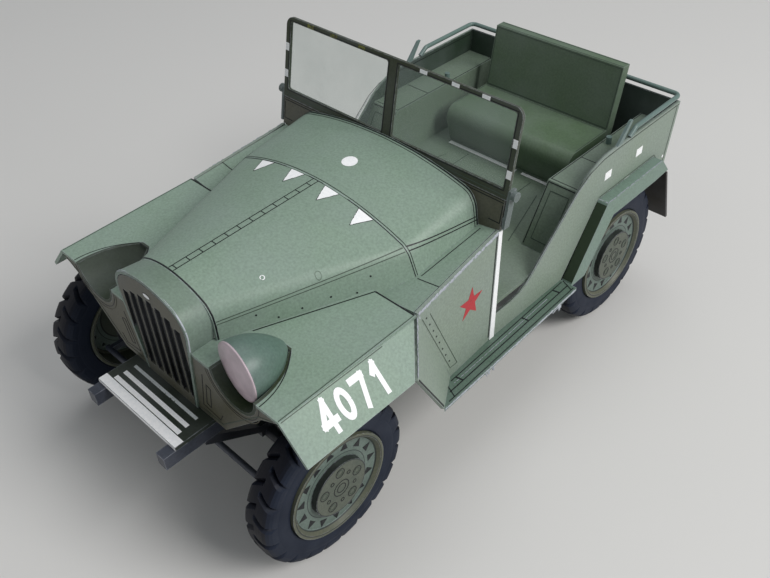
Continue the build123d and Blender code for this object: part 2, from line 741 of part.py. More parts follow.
def wing_profile(drop):
    """Rear wing from its foot over the wheel to its tail, moved in by drop."""
    return [
        (WING_FOOT_Y + FOOT_SHARE * drop, SILL_LEVEL - BOARD),
        (WING_RISE_Y + RISE_SHARE * drop, REAR_WING_TOP - drop),
        (WING_DROP_Y - DROP_SHARE * drop, REAR_WING_TOP - drop),
        (WING_TAIL_Y - TAIL_SHARE * drop, REAR_WING_TAIL - TAIL_FALL_SHARE * drop),
    ]


with BuildPart() as rear_wing:
    with BuildSketch(side_plane(TUB_HALF + GLUE_GAP)):
        with BuildLine():
            Polyline(*wing_profile(0), *reversed(wing_profile(CARD)), close=True)
        make_face()
    extrude(amount=REAR_WING_HALF - TUB_HALF - GLUE_GAP)
    with BuildSketch(side_plane(REAR_WING_HALF - CARD)):
        with BuildLine():
            Polyline(*wing_profile(0), *reversed(wing_profile(LIP_DEPTH)[:3]), close=True)
        make_face()
    extrude(amount=CARD)
mirror_pair(rear_wing, "rear_wing")

flap_inner_half = BOX_INNER_HALF + CARD + 4 * GLUE_GAP
with BuildPart() as mud_flap:
    with BuildSketch(side_plane(flap_inner_half)):
        with BuildLine():
            Polyline(
                (WING_TAIL_Y, REAR_WING_TAIL - CARD),
                (REAR_END, FLAP_TIP_LEVEL),
                (REAR_END - CARD, FLAP_TIP_LEVEL),
                (WING_TAIL_Y - CARD, REAR_WING_TAIL - CARD),
                close=True,
            )
        make_face()
    extrude(amount=REAR_WING_HALF - flap_inner_half)
mirror_pair(mud_flap, "mud_flap")

# ---------------------------------------------------------------- running boards
board_rear = WING_FOOT_Y - GLUE_GAP
with BuildPart() as running_board:
    with BuildSketch(Plane.XY.offset(SILL_LEVEL - BOARD)):
        with BuildLine():
            Polyline(
                (BOARD_FRONT_HALF, BOARD_FRONT),
                (BOARD_REAR_HALF, board_rear),
                (TUB_HALF - CARD, board_rear),
                (TUB_HALF - CARD, SIDE_FOOT_FRONT),
                close=True,
            )
        make_face()
    extrude(amount=BOARD)
mirror_pair(running_board, "running_board")

# ---------------------------------------------------------------- rear bench
BENCH_HALF = 17.0
CUSHION_TOP = 37.7
CUSHION_FRONT_FOOT = AXLE_R - 1.4
CUSHION_FRONT = AXLE_R - 3.8
BACK_FOOT = AXLE_R + 9.7
BACK_HEAD = AXLE_R + 14.9
BACK_TOP = 51.5
BACK_THICKNESS = 2.4
CUSHION_ROUND = 3.0

back_slope = (BACK_HEAD - BACK_FOOT) / (BACK_TOP - FLOOR_TOP)
cushion_rear_top = BACK_FOOT + back_slope * (CUSHION_TOP - FLOOR_TOP) - GLUE_GAP
with BuildPart() as bench_cushion:
    with BuildSketch(side_plane(-BENCH_HALF)):
        with BuildLine():
            FilletPolyline(
                (CUSHION_FRONT_FOOT, FLOOR_TOP),
                (CUSHION_FRONT, CUSHION_TOP),
                (cushion_rear_top, CUSHION_TOP),
                radius=CUSHION_ROUND,
            )
            Polyline(
                (cushion_rear_top, CUSHION_TOP),
                (BACK_FOOT - GLUE_GAP, FLOOR_TOP),
                (CUSHION_FRONT_FOOT, FLOOR_TOP),
            )
        make_face()
    extrude(amount=2 * BENCH_HALF)
keep(bench_cushion, "bench_cushion")

with BuildPart() as bench_back:
    with BuildSketch(side_plane(-BENCH_HALF)):
        with BuildLine():
            Polyline(
                (BACK_FOOT, FLOOR_TOP),
                (BACK_HEAD, BACK_TOP),
                (BACK_HEAD + BACK_THICKNESS, BACK_TOP),
                (BACK_FOOT + BACK_THICKNESS, FLOOR_TOP),
                close=True,
            )
        make_face()
    extrude(amount=2 * BENCH_HALF)
keep(bench_back, "bench_back")

# ---------------------------------------------------------------- grab rails, posts and catches
RAIL_ROD = 0.5
RAIL_RISE = 1.5
RAIL_START = AXLE_R + 0.5
RAIL_BEND = 1.3
POST_FOOT = AXLE_R - 4.2
POST_LENGTH = 1.7
POST_LEAN = 2.9
POST_HEIGHT = 4.1
CATCH_RADIUS = 0.6
CATCH_LENGTH = 1.6
CATCH_Y = AXLE_R + 3.4
CATCH_X = 22.3

rod_half = TUB_HALF - CARD / 2
rod_rear = TUB_REAR_TOP - CARD / 2
rod_level = TUB_TOP + RAIL_RISE
with BuildPart() as grab_rail:
    with BuildLine() as rod_path:
        FilletPolyline(
            (-rod_half, RAIL_START, TUB_TOP + 0.1),
            (-rod_half, RAIL_START + 2, rod_level),
            (-rod_half, rod_rear, rod_level),
            (rod_half, rod_rear, rod_level),
            (rod_half, RAIL_START + 2, rod_level),
            (rod_half, RAIL_START, TUB_TOP + 0.1),
            radius=RAIL_BEND,
        )
    with BuildSketch(Plane(origin=rod_path.line @ 0, z_dir=rod_path.line % 0)):
        Circle(RAIL_ROD)
    sweep()
    with BuildSketch(Plane.XY.offset(TUB_TOP)):
        Rectangle(4 * TUB_HALF, 4 * WHEELBASE)
    extrude(amount=-2 * RAIL_ROD, mode=Mode.SUBTRACT)
keep(grab_rail, "grab_rail")

with BuildPart() as side_posts:
    for side in (-1, 1):
        with BuildSketch(side_plane(side * rod_half - CARD / 2)):
            with BuildLine():
                Polyline(
                    (POST_FOOT, TUB_TOP),
                    (POST_FOOT + POST_LENGTH, TUB_TOP),
                    (POST_FOOT + POST_LENGTH + POST_LEAN, TUB_TOP + POST_HEIGHT),
                    (POST_FOOT + POST_LENGTH / 2 + POST_LEAN, TUB_TOP + POST_HEIGHT),
                    close=True,
                )
            make_face()
        extrude(amount=CARD)
keep(side_posts, "side_posts")

with BuildPart() as box_catches:
    for side in (-1, 1):
        with BuildSketch(Plane.XY.offset(BOX_TOP)):
            with Locations((side * CATCH_X, CATCH_Y)):
                Circle(CATCH_RADIUS)
        extrude(amount=CATCH_LENGTH)
keep(box_catches, "box_catches")

# ---------------------------------------------------------------- chassis
RAIL_IN = 9.2
RAIL_OUT = 11.4
RAIL_REAR = AXLE_R + 16.0
PLATFORM_HALF = 11.4
CROSS_WIDTH = 2.4
cross_stations = [AXLE_F - 15.5, AXLE_F + 20.0, AXLE_R - 24.0, AXLE_R + 13.0]

with BuildPart() as chassis_rail:
    with BuildSketch(Plane.XY.offset(RAIL_TOP)):
        with Locations(((RAIL_IN + RAIL_OUT) / 2, (FRONT_END + RAIL_REAR) / 2)):
            Rectangle(RAIL_OUT - RAIL_IN, RAIL_REAR - FRONT_END)
    extrude(amount=-RAIL_HEIGHT)
mirror_pair(chassis_rail, "chassis_rail")

with BuildPart() as cross_members:
    for station in cross_stations:
        with BuildSketch(Plane.XY.offset(RAIL_TOP)):
            with Locations((0, station)):
                Rectangle(2 * (RAIL_IN - GLUE_GAP / 2), CROSS_WIDTH)
        extrude(amount=-RAIL_HEIGHT + CARD)
keep(cross_members, "cross_members")

with BuildPart() as front_platform:
    with BuildSketch(Plane.XY.offset(RAIL_TOP)):
        with Locations((0, (PLATFORM_FRONT + SHELL_REAR) / 2)):
            Rectangle(2 * PLATFORM_HALF, SHELL_REAR - PLATFORM_FRONT)
    extrude(amount=BOARD)
keep(front_platform, "front_platform")

# ---------------------------------------------------------------- axles, springs and tie rod
AXLE_TUBE = 1.3
DIFF_RADIUS = 3.2
DRUM_RADIUS = 5.2
DRUM_WIDTH = 2.0
SPRING_WIDTH = 1.8
SPRING_LEAF = 1.0
SPRING_HALF = 13.0
SPRING_SEAT_HALF = 2.0
TIE_ROD_RADIUS = 0.6
TIE_ROD_AHEAD = 8.2

wheel_back = TYRE_INNER_FACE - SPIN_GAP
spring_x = (RAIL_IN + RAIL_OUT) / 2
spring_seat = TYRE_RADIUS + AXLE_TUBE
spring_eye = RAIL_TOP - RAIL_HEIGHT - SPRING_LEAF
pin_end = TYRE_INNER_FACE + TYRE_WIDTH + RIM_LIP - DISC_INSET - DISC_THICKNESS / 2

for node, station, right_out in (("front_axle", AXLE_F, FRONT_RIGHT_OUT), ("rear_axle", AXLE_R, 0)):
    with BuildPart() as axle:
        with BuildSketch(side_plane(-wheel_back - right_out)):
            with Locations((station, TYRE_RADIUS)):
                Circle(AXLE_TUBE)
        extrude(amount=2 * wheel_back + right_out)
        with BuildSketch(upright(station)):
            with Locations((0, TYRE_RADIUS)):
                Circle(DIFF_RADIUS)
            with Locations((0, TYRE_RADIUS - DIFF_RADIUS)):
                Rectangle(2 * DIFF_RADIUS, 2 * DIFF_RADIUS, mode=Mode.SUBTRACT)
        revolve(axis=Axis((0, station, TYRE_RADIUS), (1, 0, 0)))
        for side, out in ((-1, right_out), (1, 0)):
            with BuildSketch(side_plane(side * (wheel_back + out - DRUM_WIDTH / 2))):
                with Locations((station, TYRE_RADIUS)):
                    Circle(DRUM_RADIUS)
            extrude(amount=DRUM_WIDTH / 2, both=True)
            with BuildSketch(side_plane(side * (out + (pin_end + wheel_back - DRUM_WIDTH) / 2))):
                with Locations((station, TYRE_RADIUS)):
                    Circle(PIN_RADIUS)
            extrude(amount=(pin_end - wheel_back + DRUM_WIDTH) / 2, both=True)
            with BuildSketch(side_plane(side * spring_x - SPRING_WIDTH / 2)):
                with Locations((station, (TYRE_RADIUS + spring_seat) / 2)):
                    Rectangle(2 * SPRING_SEAT_HALF, spring_seat - TYRE_RADIUS)
            extrude(amount=SPRING_WIDTH)
    keep(axle, node)

for node, station in (("front_springs", AXLE_F), ("rear_springs", AXLE_R)):
    with BuildPart() as springs:
        for side in (-1, 1):
            with BuildSketch(side_plane(side * spring_x - SPRING_WIDTH / 2)):
                with BuildLine():
                    Polyline(
                        (station - SPRING_SEAT_HALF, spring_seat),
                        (station + SPRING_SEAT_HALF, spring_seat),
                        (station + SPRING_HALF, spring_eye),
                        (station + SPRING_HALF, spring_eye + SPRING_LEAF),
                        (station + SPRING_HALF - 2, spring_eye + SPRING_LEAF),
                        (station + SPRING_SEAT_HALF, spring_seat + 1.6 * SPRING_LEAF),
                        (station - SPRING_SEAT_HALF, spring_seat + 1.6 * SPRING_LEAF),
                        (station - SPRING_HALF + 2, spring_eye + SPRING_LEAF),
                        (station - SPRING_HALF, spring_eye + SPRING_LEAF),
                        (station - SPRING_HALF, spring_eye),
                        close=True,
                    )
                make_face()
            extrude(amount=SPRING_WIDTH)
    keep(springs, node)

with BuildPart() as tie_rod:
    with BuildSketch(side_plane(-wheel_back - FRONT_RIGHT_OUT + DRUM_WIDTH / 2)):
        with Locations((AXLE_F - TIE_ROD_AHEAD, TYRE_RADIUS)):
            Circle(TIE_ROD_RADIUS)
    extrude(amount=2 * wheel_back + FRONT_RIGHT_OUT - DRUM_WIDTH)
    for side, out in ((-1, FRONT_RIGHT_OUT), (1, 0)):
        with BuildSketch(side_plane(side * (wheel_back + out - DRUM_WIDTH) - DRUM_WIDTH / 4)):
            with Locations((AXLE_F - (TIE_ROD_AHEAD + DRUM_RADIUS) / 2 - GLUE_GAP, TYRE_RADIUS)):
                Rectangle(TIE_ROD_AHEAD - DRUM_RADIUS, 2 * TIE_ROD_RADIUS)
        extrude(amount=DRUM_WIDTH / 2)
keep(tie_rod, "tie_rod")

# ---------------------------------------------------------------- wheels
tyre_outer_face = TYRE_INNER_FACE + TYRE_WIDTH
rim_face = tyre_outer_face + RIM_LIP
disc_face = rim_face - DISC_INSET
wheel_places = [
    # name,         side, station, further out by
    ("front_left", 1, AXLE_F, 0),
    ("front_right", -1, AXLE_F, FRONT_RIGHT_OUT),
    ("rear_left", 1, AXLE_R, 0),
    ("rear_right", -1, AXLE_R, 0),
]
lug_pitch = 2 * pi / LUG_COUNT
groove_half = GROOVE_WIDTH / 2 / TYRE_RADIUS
lug_half = lug_pitch / 2 - groove_half


def lug_outline(half, drop, turn):
    """Outline of one row of the tread with V grooves between its lugs, a lug straight down at turn 0."""
    top = (TYRE_RADIUS - drop) / cos(groove_half)
    foot = top - LUG_HEIGHT
    corners = []
    for lug in range(LUG_COUNT):
        middle = lug * lug_pitch + turn - pi / 2
        for spread, radius in ((-lug_half, top), (lug_half, top), (lug_pitch / 2, foot)):
            corners.append((radius * cos(middle + spread), radius * sin(middle + spread)))
    with BuildSketch(side_plane(half), mode=Mode.PRIVATE) as outline:
        with BuildLine():
            Polyline(*corners, close=True)
        make_face()
    return outline.sketch


tread_middle = TYRE_INNER_FACE + TYRE_WIDTH / 2
tread_rows = [
    # face,            towards the middle, turn
    (tyre_outer_face, -1, 0),
    (TYRE_INNER_FACE, 1, lug_pitch / 2),
]
with BuildPart() as tyre_blank:
    for face, inward, turn in tread_rows:
        shoulder = face + inward * TYRE_SHOULDER
        add(lug_outline(tread_middle, 0, turn))
        add(lug_outline(shoulder, 0, turn))
        loft(ruled=True)
        add(lug_outline(shoulder, 0, turn))
        add(lug_outline(face, SHOULDER_DROP, turn))
        loft(ruled=True)
    with BuildSketch(side_plane(TYRE_INNER_FACE)):
        RegularPolygon(RIM_RADIUS, BORE_SIDES, major_radius=False)
    extrude(amount=TYRE_WIDTH, mode=Mode.SUBTRACT)

with BuildPart() as wheel_blank:
    with BuildSketch(Plane.XZ):
        with BuildLine():
            Polyline(
                (TYRE_INNER_FACE, RIM_RADIUS),
                (rim_face, RIM_RADIUS),
                (rim_face, RIM_RADIUS - RIM_WALL),
                (disc_face, DISC_RADIUS),
                (disc_face, HUB_PLATE_RADIUS),
                (disc_face + HUB_PLATE_THICKNESS, HUB_PLATE_RADIUS),
                (disc_face + HUB_PLATE_THICKNESS, 0),
                (pin_end + PIN_GAP, 0),
                (pin_end + PIN_GAP, PIN_RADIUS + PIN_GAP),
                (TYRE_INNER_FACE, PIN_RADIUS + PIN_GAP),
                (TYRE_INNER_FACE, HUB_RADIUS),
                (disc_face - DISC_THICKNESS, HUB_RADIUS),
                (disc_face - DISC_THICKNESS, RIM_RADIUS - RIM_WALL),
                (TYRE_INNER_FACE, RIM_RADIUS - RIM_WALL),
                close=True,
            )
        make_face()
    revolve(axis=Axis.X)
    with BuildSketch(side_plane(disc_face)):
        with PolarLocations(VENT_RING_RADIUS, VENT_COUNT):
            RegularPolygon(VENT_RADIUS, 3)
    extrude(amount=-DISC_THICKNESS, mode=Mode.SUBTRACT)

for place, side, station, out in wheel_places:
    for piece, blank in (("tyre_", tyre_blank), ("wheel_", wheel_blank)):
        with BuildPart() as placed:
            if side > 0:
                add(blank.part.moved(Location((out, station, TYRE_RADIUS))))
            else:
                mirror(blank.part.moved(Location((out, station, TYRE_RADIUS))), about=Plane.YZ)
        keep(placed, piece + place)
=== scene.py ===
"""Looks of a card model of an open army scout car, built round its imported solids."""

from contextlib import contextmanager

import bmesh
import bpy
import numpy as np
from mathutils import Matrix, Vector

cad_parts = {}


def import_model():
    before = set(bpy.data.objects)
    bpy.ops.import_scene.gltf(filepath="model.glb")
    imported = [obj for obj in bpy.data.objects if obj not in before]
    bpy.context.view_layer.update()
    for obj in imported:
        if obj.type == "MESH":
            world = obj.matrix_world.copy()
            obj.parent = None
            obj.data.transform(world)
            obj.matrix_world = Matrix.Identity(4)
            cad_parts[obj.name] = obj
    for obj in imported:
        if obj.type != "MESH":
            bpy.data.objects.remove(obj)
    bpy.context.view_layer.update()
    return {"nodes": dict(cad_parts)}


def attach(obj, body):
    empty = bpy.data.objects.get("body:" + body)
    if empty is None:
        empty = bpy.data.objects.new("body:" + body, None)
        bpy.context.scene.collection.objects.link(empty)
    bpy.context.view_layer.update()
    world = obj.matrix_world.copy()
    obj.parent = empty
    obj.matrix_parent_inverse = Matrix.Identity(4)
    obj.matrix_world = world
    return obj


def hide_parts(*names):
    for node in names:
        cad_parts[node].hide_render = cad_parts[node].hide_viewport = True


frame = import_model()
NODES = frame["nodes"]

bl_info = {
    "name": "Card Scout Car",
    "version": (1, 0, 0),
    "blender": (4, 5, 0),
    "location": "View3D > Sidebar > Scout Car",
    "description": "Prints, wear, tyres, film and stage for a card model of an open scout car",
    "category": "Object",
}

MM = 0.001
BODY = "car"
PLACES = ("front_left", "front_right", "rear_left", "rear_right")
SIDES = ((1, "left"), (-1, "right"))

# Main corners of the card panels, in millimetres.
AXLE_F = -41.75
AXLE_R = 42.25
AXLE_LEVEL = 15.5
SHIFT = np.array([1.45, 0.0, 0.7])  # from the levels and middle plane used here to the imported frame
FRONT_RIGHT_OUT = 9.0  # the front right wheel stands this much further out
TREAD_MIDDLE = 26.0
HUB_FACE = 29.7
DISC_FACE = 28.5
WING_FRONT = -52.25
WING_REAR = -23.0
HOOD_REAR = -15.75
TUB_HALF = 28.6
BOX_TOP = 39.8
REAR_WING_TOP = 34.8
FLOOR_TOP = 27.9
PLATFORM_TOP = 27.9
BENCH_TOP = 37.0
BACK_TOP = 50.8
SILL = 20.2
COWL_CORNER = (30.1, -22.55, 42.8)
SIDE_TOP_REAR = (28.6, 0.35, 45.7)
SIDE_FOOT_REAR = (28.6, -0.65, 20.2)
SIDE_FOOT_FRONT = (29.4, -13.15, 20.2)
BOARD_CORNER = (33.8, -19.85, 20.2)
BOARD_REAR = (32.5, 22.95)  # half width and station of the running board's rear corner
WING_FOLD = (30.2, 42.0, 42.8)  # half width, level at the front, level at the rear
FLAP_EDGE = (35.8, 36.2)  # half width, level
LAMP_CENTRE = (19.4, 42.3)  # half width and level of a lamp recess
SCREEN_LEAN = np.radians(11.5)
SCREEN_GROUND = 0.35 - 45.7 * np.tan(SCREEN_LEAN)
CARD = 0.6  # thickness of a panel
LAYER_STEP = 0.002  # crossing prints lie this much over each other
LAYERS = 8
FIGURES = "4071"


# ---- settings
def colour_property(name, description, default):
    return bpy.props.FloatVectorProperty(
        name=name, description=description, subtype="COLOR", size=3, min=0, max=1, default=default
    )


def length_property(name, description, default):
    return bpy.props.FloatProperty(name=name, description=description, unit="LENGTH", default=default * MM)


class ScoutCarSettings(bpy.types.PropertyGroup):
    """Sizes and colours of the card model."""

    green: colour_property("Green card", "Sage green of the body panels", (0.216, 0.303, 0.232))
    # The brown is painted shade: forward-facing panels get a darker, warmer colour where they face away from the
    # lamps.
    brown: colour_property("Brown card", "Brownish olive of the front-facing panels", (0.085, 0.082, 0.05))
    side: colour_property("Side card", "Green of the tub's and cowl's sides", (0.228, 0.286, 0.228))
    # The inner faces' dark green is painted shade: the sides' card, darkened where it faces into the tub.
    inner: colour_property("Inner side card", "Dark green of the sides' inner faces", (0.03, 0.05, 0.033))
    inside: colour_property("Inside card", "Darker green inside the tub", (0.146, 0.197, 0.142))
    seat: colour_property("Seat card", "Dark olive of the bench", (0.094, 0.146, 0.084))
    flap_brown: colour_property("Mud flap card", "Dark brown of the mud flaps", (0.015, 0.011, 0.006))
    tyre: colour_property("Tread card", "Blue-black of the treads", (0.0055, 0.0055, 0.01))
    # The tyres' sides are bluer than the tread: painted sheen, the bluish light's reflection on the walls.
    tyre_wall_painted_sheen: colour_property("Tyre wall card", "Dark blue of the tyres' sides", (0.011, 0.017, 0.034))
    disc: colour_property("Wheel card", "Blue-grey of the wheel discs", (0.132, 0.176, 0.152))
    hub: colour_property("Hub card", "Olive grey of the hub plates", (0.094, 0.108, 0.082))
    rim: colour_property("Rim card", "Olive of the wheels' rims", (0.106, 0.112, 0.076))
    # The chassis blue-grey is partly painted shade: darkened toward the shadow under the car.
    chassis: colour_property("Chassis card", "Blue-grey of rails and axles", (0.032, 0.038, 0.055))
    rod: colour_property("Rod", "Blue-green of the grab rail and posts", (0.12, 0.185, 0.165))
    lens: colour_property("Lens card", "Pinkish beige of the headlamp disc", (0.58, 0.475, 0.52))
    white: colour_property("White print", "White of the stripes, figures and triangles", (0.97, 0.985, 1.0))
    red: colour_property("Red print", "Red of the star", (0.46, 0.035, 0.045))
    ink: colour_property("Black print", "Black of the printed lines", (0.008, 0.01, 0.012))
    core: colour_property("Card core", "Pale grey fibre showing at worn edges", (0.36, 0.38, 0.43))
    line_width: length_property("Line width", "Width of a thin printed line", 0.16)
    print_lift: length_property("Print lift", "Height of a print's top over its panel", 0.045)
    print_thickness: length_property("Print thickness", "Thickness of a printed layer", 0.03)
    lug_count: bpy.props.IntProperty(
        name="Lugs", description="Lugs in each row round a tyre", default=22, min=8, max=60
    )
    lug_height: length_property("Lug height", "Height of a lug over the carcass", 1.1)
    lug_slant: bpy.props.FloatProperty(
        name="Lug slant", description="Share of a pitch that a lug leans by across its row", default=0.42
    )
    edge_wear: bpy.props.FloatProperty(
        name="Edge wear", description="How strongly card fibre shows at sharp edges", default=0.75, min=0, max=1
    )
    edge_radius: length_property("Edge wear width", "Width of the worn band", 0.24)


def settings():
    return bpy.context.scene.scout_car


# ---- materials
def put(tree, kind, inputs=None, **values):
    """Adds a shader node; a socket among its inputs is linked, anything else is a value."""
    node = tree.nodes.new(kind)
    for key, value in values.items():
        setattr(node, key, value)
    for key, value in (inputs or {}).items():
        if isinstance(value, bpy.types.NodeSocket):
            tree.links.new(value, node.inputs[key])
        else:
            node.inputs[key].default_value = value
    return node


def shade(colour, amount):
    return tuple(min(c * amount, 1.0) for c in colour)


class Shading:
    """The nodes of one new material, laid over the object's own coordinates."""

    def __init__(self, name):
        self.material = bpy.data.materials.new(name)
        self.material.use_nodes = True
        self.tree = self.material.node_tree
        self.tree.nodes.clear()
        self.place = self.put("ShaderNodeTexCoord").outputs["Object"]

    def put(self, kind, inputs=None, **values):
        return put(self.tree, kind, inputs, **values)

    def maths(self, operation, *values):
        return self.put("ShaderNodeMath", dict(enumerate(values)), operation=operation).outputs[0]

    def times(self, first, second):
        return self.maths("MULTIPLY", first, second)

    def noise(self, scale, detail=3.0, roughness=0.55):
        inputs = {"Vector": self.place, "Scale": scale, "Detail": detail, "Roughness": roughness}
        return self.put("ShaderNodeTexNoise", inputs).outputs["Fac"]

    def ramp(self, value, low, high, out_low=0.0, out_high=1.0):
        inputs = {"Value": value, "From Min": low, "From Max": high, "To Min": out_low, "To Max": out_high}
        return self.put("ShaderNodeMapRange", inputs).outputs["Result"]

    def blend(self, factor, first, second):
        """Mixes two colours, each a socket or three numbers, by a factor."""
        four = [c if isinstance(c, bpy.types.NodeSocket) else (*c, 1.0) for c in (first, second)]
        return self.put("ShaderNodeMix", {0: factor, 6: four[0], 7: four[1]}, data_type="RGBA").outputs[2]

    def speckled(self, speckle, colour, grain):
        return self.blend(speckle, shade(colour, 1 - grain), shade(colour, 1 + grain))

    def centred(self, *middle):
        """The object's coordinates counted from a point given in metres."""
        moved = {"Vector": self.place, "Location": tuple(-m for m in middle)}
        return self.put("ShaderNodeMapping", moved).outputs[0]

    def across(self, vector):
        """Size of a vector's part along X."""
        return self.maths("ABSOLUTE", self.put("ShaderNodeSeparateXYZ", {0: vector}).outputs[0])

    def normal(self):
        return self.put("ShaderNodeNewGeometry").outputs["Normal"]

    def edges(self, radius, low=0.985, high=0.9):
        """1 near a sharp edge: where the normal of a rounded copy turns away from the face's own."""
        rounded = self.put("ShaderNodeBevel", {"Radius": radius}, samples=6).outputs["Normal"]
        both = {0: rounded, 1: self.normal()}
        dot = self.put("ShaderNodeVectorMath", both, operation="DOT_PRODUCT")
        return self.ramp(dot.outputs["Value"], low, high)

    def finish(self, colour, roughness, bump=None, specular=0.4):
        """Closes the material with one shader, its relief taken from the bump value."""
        inputs = {"Base Color": colour, "Roughness": roughness, "Specular IOR Level": specular}
        if bump is not None:
            relief = {"Height": bump, "Strength": 0.35, "Distance": 0.02 * MM}
            inputs["Normal"] = self.put("ShaderNodeBump", relief).outputs["Normal"]
        return self.output(self.put("ShaderNodeBsdfPrincipled", inputs).outputs[0])

    def output(self, surface):
        self.put("ShaderNodeOutputMaterial", {"Surface": surface})
        return self.material


def card_material(name, colour, grain=0.13, wear=1.0, rough=(0.4, 0.56), specular=0.45, inner=None, walls=None):
    """Printed card: fine print speckle and soft clouds over one colour, fibre showing along worn edges.

    With an inner colour, whatever lies nearer the middle than the sides' outer faces has that instead; the sides use
    it for painted shade on their inner faces.
    With a walls colour, faces that look sideways have that instead; the grille uses it for painted shade on its slot
    walls.
    """
    look = settings()
    card = Shading(name)
    speckle = card.ramp(card.noise(2300.0, 2.0), 0.3, 0.7)
    cloud = card.noise(75.0, 4.0)
    fibre = card.noise(1100.0, 5.0, 0.7)
    printed = card.speckled(speckle, colour, grain)
    # Whatever lies nearer the middle than the sides' outer faces takes the inner colour: painted shade.
    if inner is not None:
        outside = card.ramp(card.across(card.centred(SHIFT[0] * MM, 0, 0)), 28.05 * MM, 28.3 * MM)
        printed = card.blend(outside, card.speckled(speckle, inner, grain), printed)
    if walls is not None:
        printed = card.blend(card.ramp(card.across(card.normal()), 0.45, 0.55), printed, walls)
    dusty = card.blend(card.ramp(cloud, 0.35, 0.72), printed, card.blend(0.16, printed, look.core))
    scuffs = card.times(card.edges(look.edge_radius), card.ramp(fibre, 0.38, 0.6))
    final = card.blend(card.times(scuffs, look.edge_wear * wear), dusty, look.core)
    return card.finish(final, card.ramp(cloud, 0.3, 0.7, *rough), fibre, specular)


def print_material(name, colour, rough=0.5, broken=0.0, under=None):
    """Printed ink: one colour with paper grain, thinned by a share of wear that shows the card under it."""
    ink = Shading(name)
    grain = ink.ramp(ink.noise(2000.0, 3.0), 0.3, 0.7)
    inked = ink.blend(grain, shade(colour, 0.92), shade(colour, 1.06))
    if broken:
        low = 0.62 - 0.3 * broken
        inked = ink.blend(ink.ramp(ink.noise(1500.0, 5.0, 0.7), low, low + 0.04), inked, under)
    return ink.finish(inked, ink.ramp(grain, 0, 1, rough - 0.05, rough + 0.08), grain, 0.35)


def tyre_material(name):
    """Blue-black laminated card: near black across the tread, bluer on the walls as painted sheen, grey scuffs on
    edges.
    """
    look = settings()
    card = Shading(name)
    fibre = card.noise(1300.0, 5.0, 0.7)
    cloud = card.noise(160.0, 4.0)
    # Faces that look sideways take the bluer wall colour: painted sheen.
    base = card.blend(card.ramp(card.across(card.normal()), 0.35, 0.9), look.tyre, look.tyre_wall_painted_sheen)
    base = card.blend(card.ramp(cloud, 0.35, 0.7, 0.0, 0.5), base, shade(look.tyre_wall_painted_sheen, 0.6))
    scuffs = card.times(card.edges(0.25 * MM, 0.97, 0.8), card.ramp(fibre, 0.46, 0.64, 0.0, 0.5))
    final = card.blend(scuffs, base, (0.075, 0.085, 0.13))
    return card.finish(final, card.ramp(cloud, 0.3, 0.7, 0.45, 0.62), fibre, 0.22)


def wheel_material(name, axle):
    """Wheel print: colour zones by distance from the axle, with fine printed ring lines between them."""
    look = settings()
    card = Shading(name)
    centred = card.centred(0, axle * MM, (AXLE_LEVEL + SHIFT[2]) * MM)
    flat = card.put("ShaderNodeVectorMath", {0: centred, 1: (0, 1, 1)}, operation="MULTIPLY").outputs[0]
    reach = card.put("ShaderNodeVectorMath", {0: flat}, operation="LENGTH").outputs["Value"]
    speckle = card.ramp(card.noise(2300.0, 2.0), 0.3, 0.7)
    cloud = card.noise(220.0, 4.0)
    zones = card.speckled(speckle, look.hub, 0.12)
    for low, high, colour, grain in ((5.8, 5.84, look.disc, 0.14), (9.33, 9.38, look.rim, 0.12)):
        zones = card.blend(card.ramp(reach, low * MM, high * MM), zones, card.speckled(speckle, colour, grain))
    dark = None
    for radius, half in ((5.72, 0.12), (6.7, 0.06), (9.35, 0.06), (10.05, 0.08)):
        away = card.maths("ABSOLUTE", card.maths("SUBTRACT", reach, radius * MM))
        ring_line = card.ramp(away, half * MM, half * 1.5 * MM, 1.0, 0.0)
        dark = ring_line if dark is None else card.maths("MAXIMUM", dark, ring_line)
    lined = card.blend(card.times(dark, 0.85), zones, look.ink)
    scuffs = card.times(card.edges(0.2 * MM), card.ramp(card.noise(1100.0, 5.0), 0.4, 0.6, 0.0, 0.6))
    final = card.blend(scuffs, lined, look.core)
    grime = card.blend(card.ramp(cloud, 0.45, 0.75, 0.0, 0.45), final, shade(look.disc, 0.5))
    return card.finish(grime, card.ramp(cloud, 0.3, 0.7, 0.42, 0.6), speckle, 0.4)


def film_material(name):
    """Clear film: it lets nearly all light straight through, with a faint uneven haze and a soft gloss."""
    film = Shading(name)
    haze = film.ramp(film.noise(55.0, 4.0, 0.6), 0.35, 0.75, 0.05, 0.15)
    streaks = film.ramp(film.noise(240.0, 2.0), 0.3, 0.7, 0.95, 1.05)
    clear = film.put("ShaderNodeBsdfTransparent", {"Color": (0.93, 0.95, 0.94, 1)}).outputs[0]
    hazy = {"Base Color": (0.56, 0.62, 0.6, 1), "Roughness": 0.32}
    dusty = film.put("ShaderNodeBsdfPrincipled", hazy).outputs[0]
    mixed = film.put("ShaderNodeMixShader", {0: film.times(haze, streaks), 1: clear, 2: dusty})
    return film.output(mixed.outputs[0])


def lens_material(name):
    """Headlamp disc: pale pinkish card with a soft gloss and faint streaks."""
    lens = settings().lens
    card = Shading(name)
    streaks = card.noise(420.0, 4.0)
    fine = card.noise(2400.0, 3.0)
    base = card.blend(card.ramp(streaks, 0.3, 0.7), shade(lens, 0.86), shade(lens, 1.12))
    final = card.blend(card.times(card.edges(0.2 * MM), 0.6), base, (0.62, 0.56, 0.5))
    return card.finish(final, card.ramp(streaks, 0.3, 0.7, 0.28, 0.4), fine, 0.5)


INKS = {}


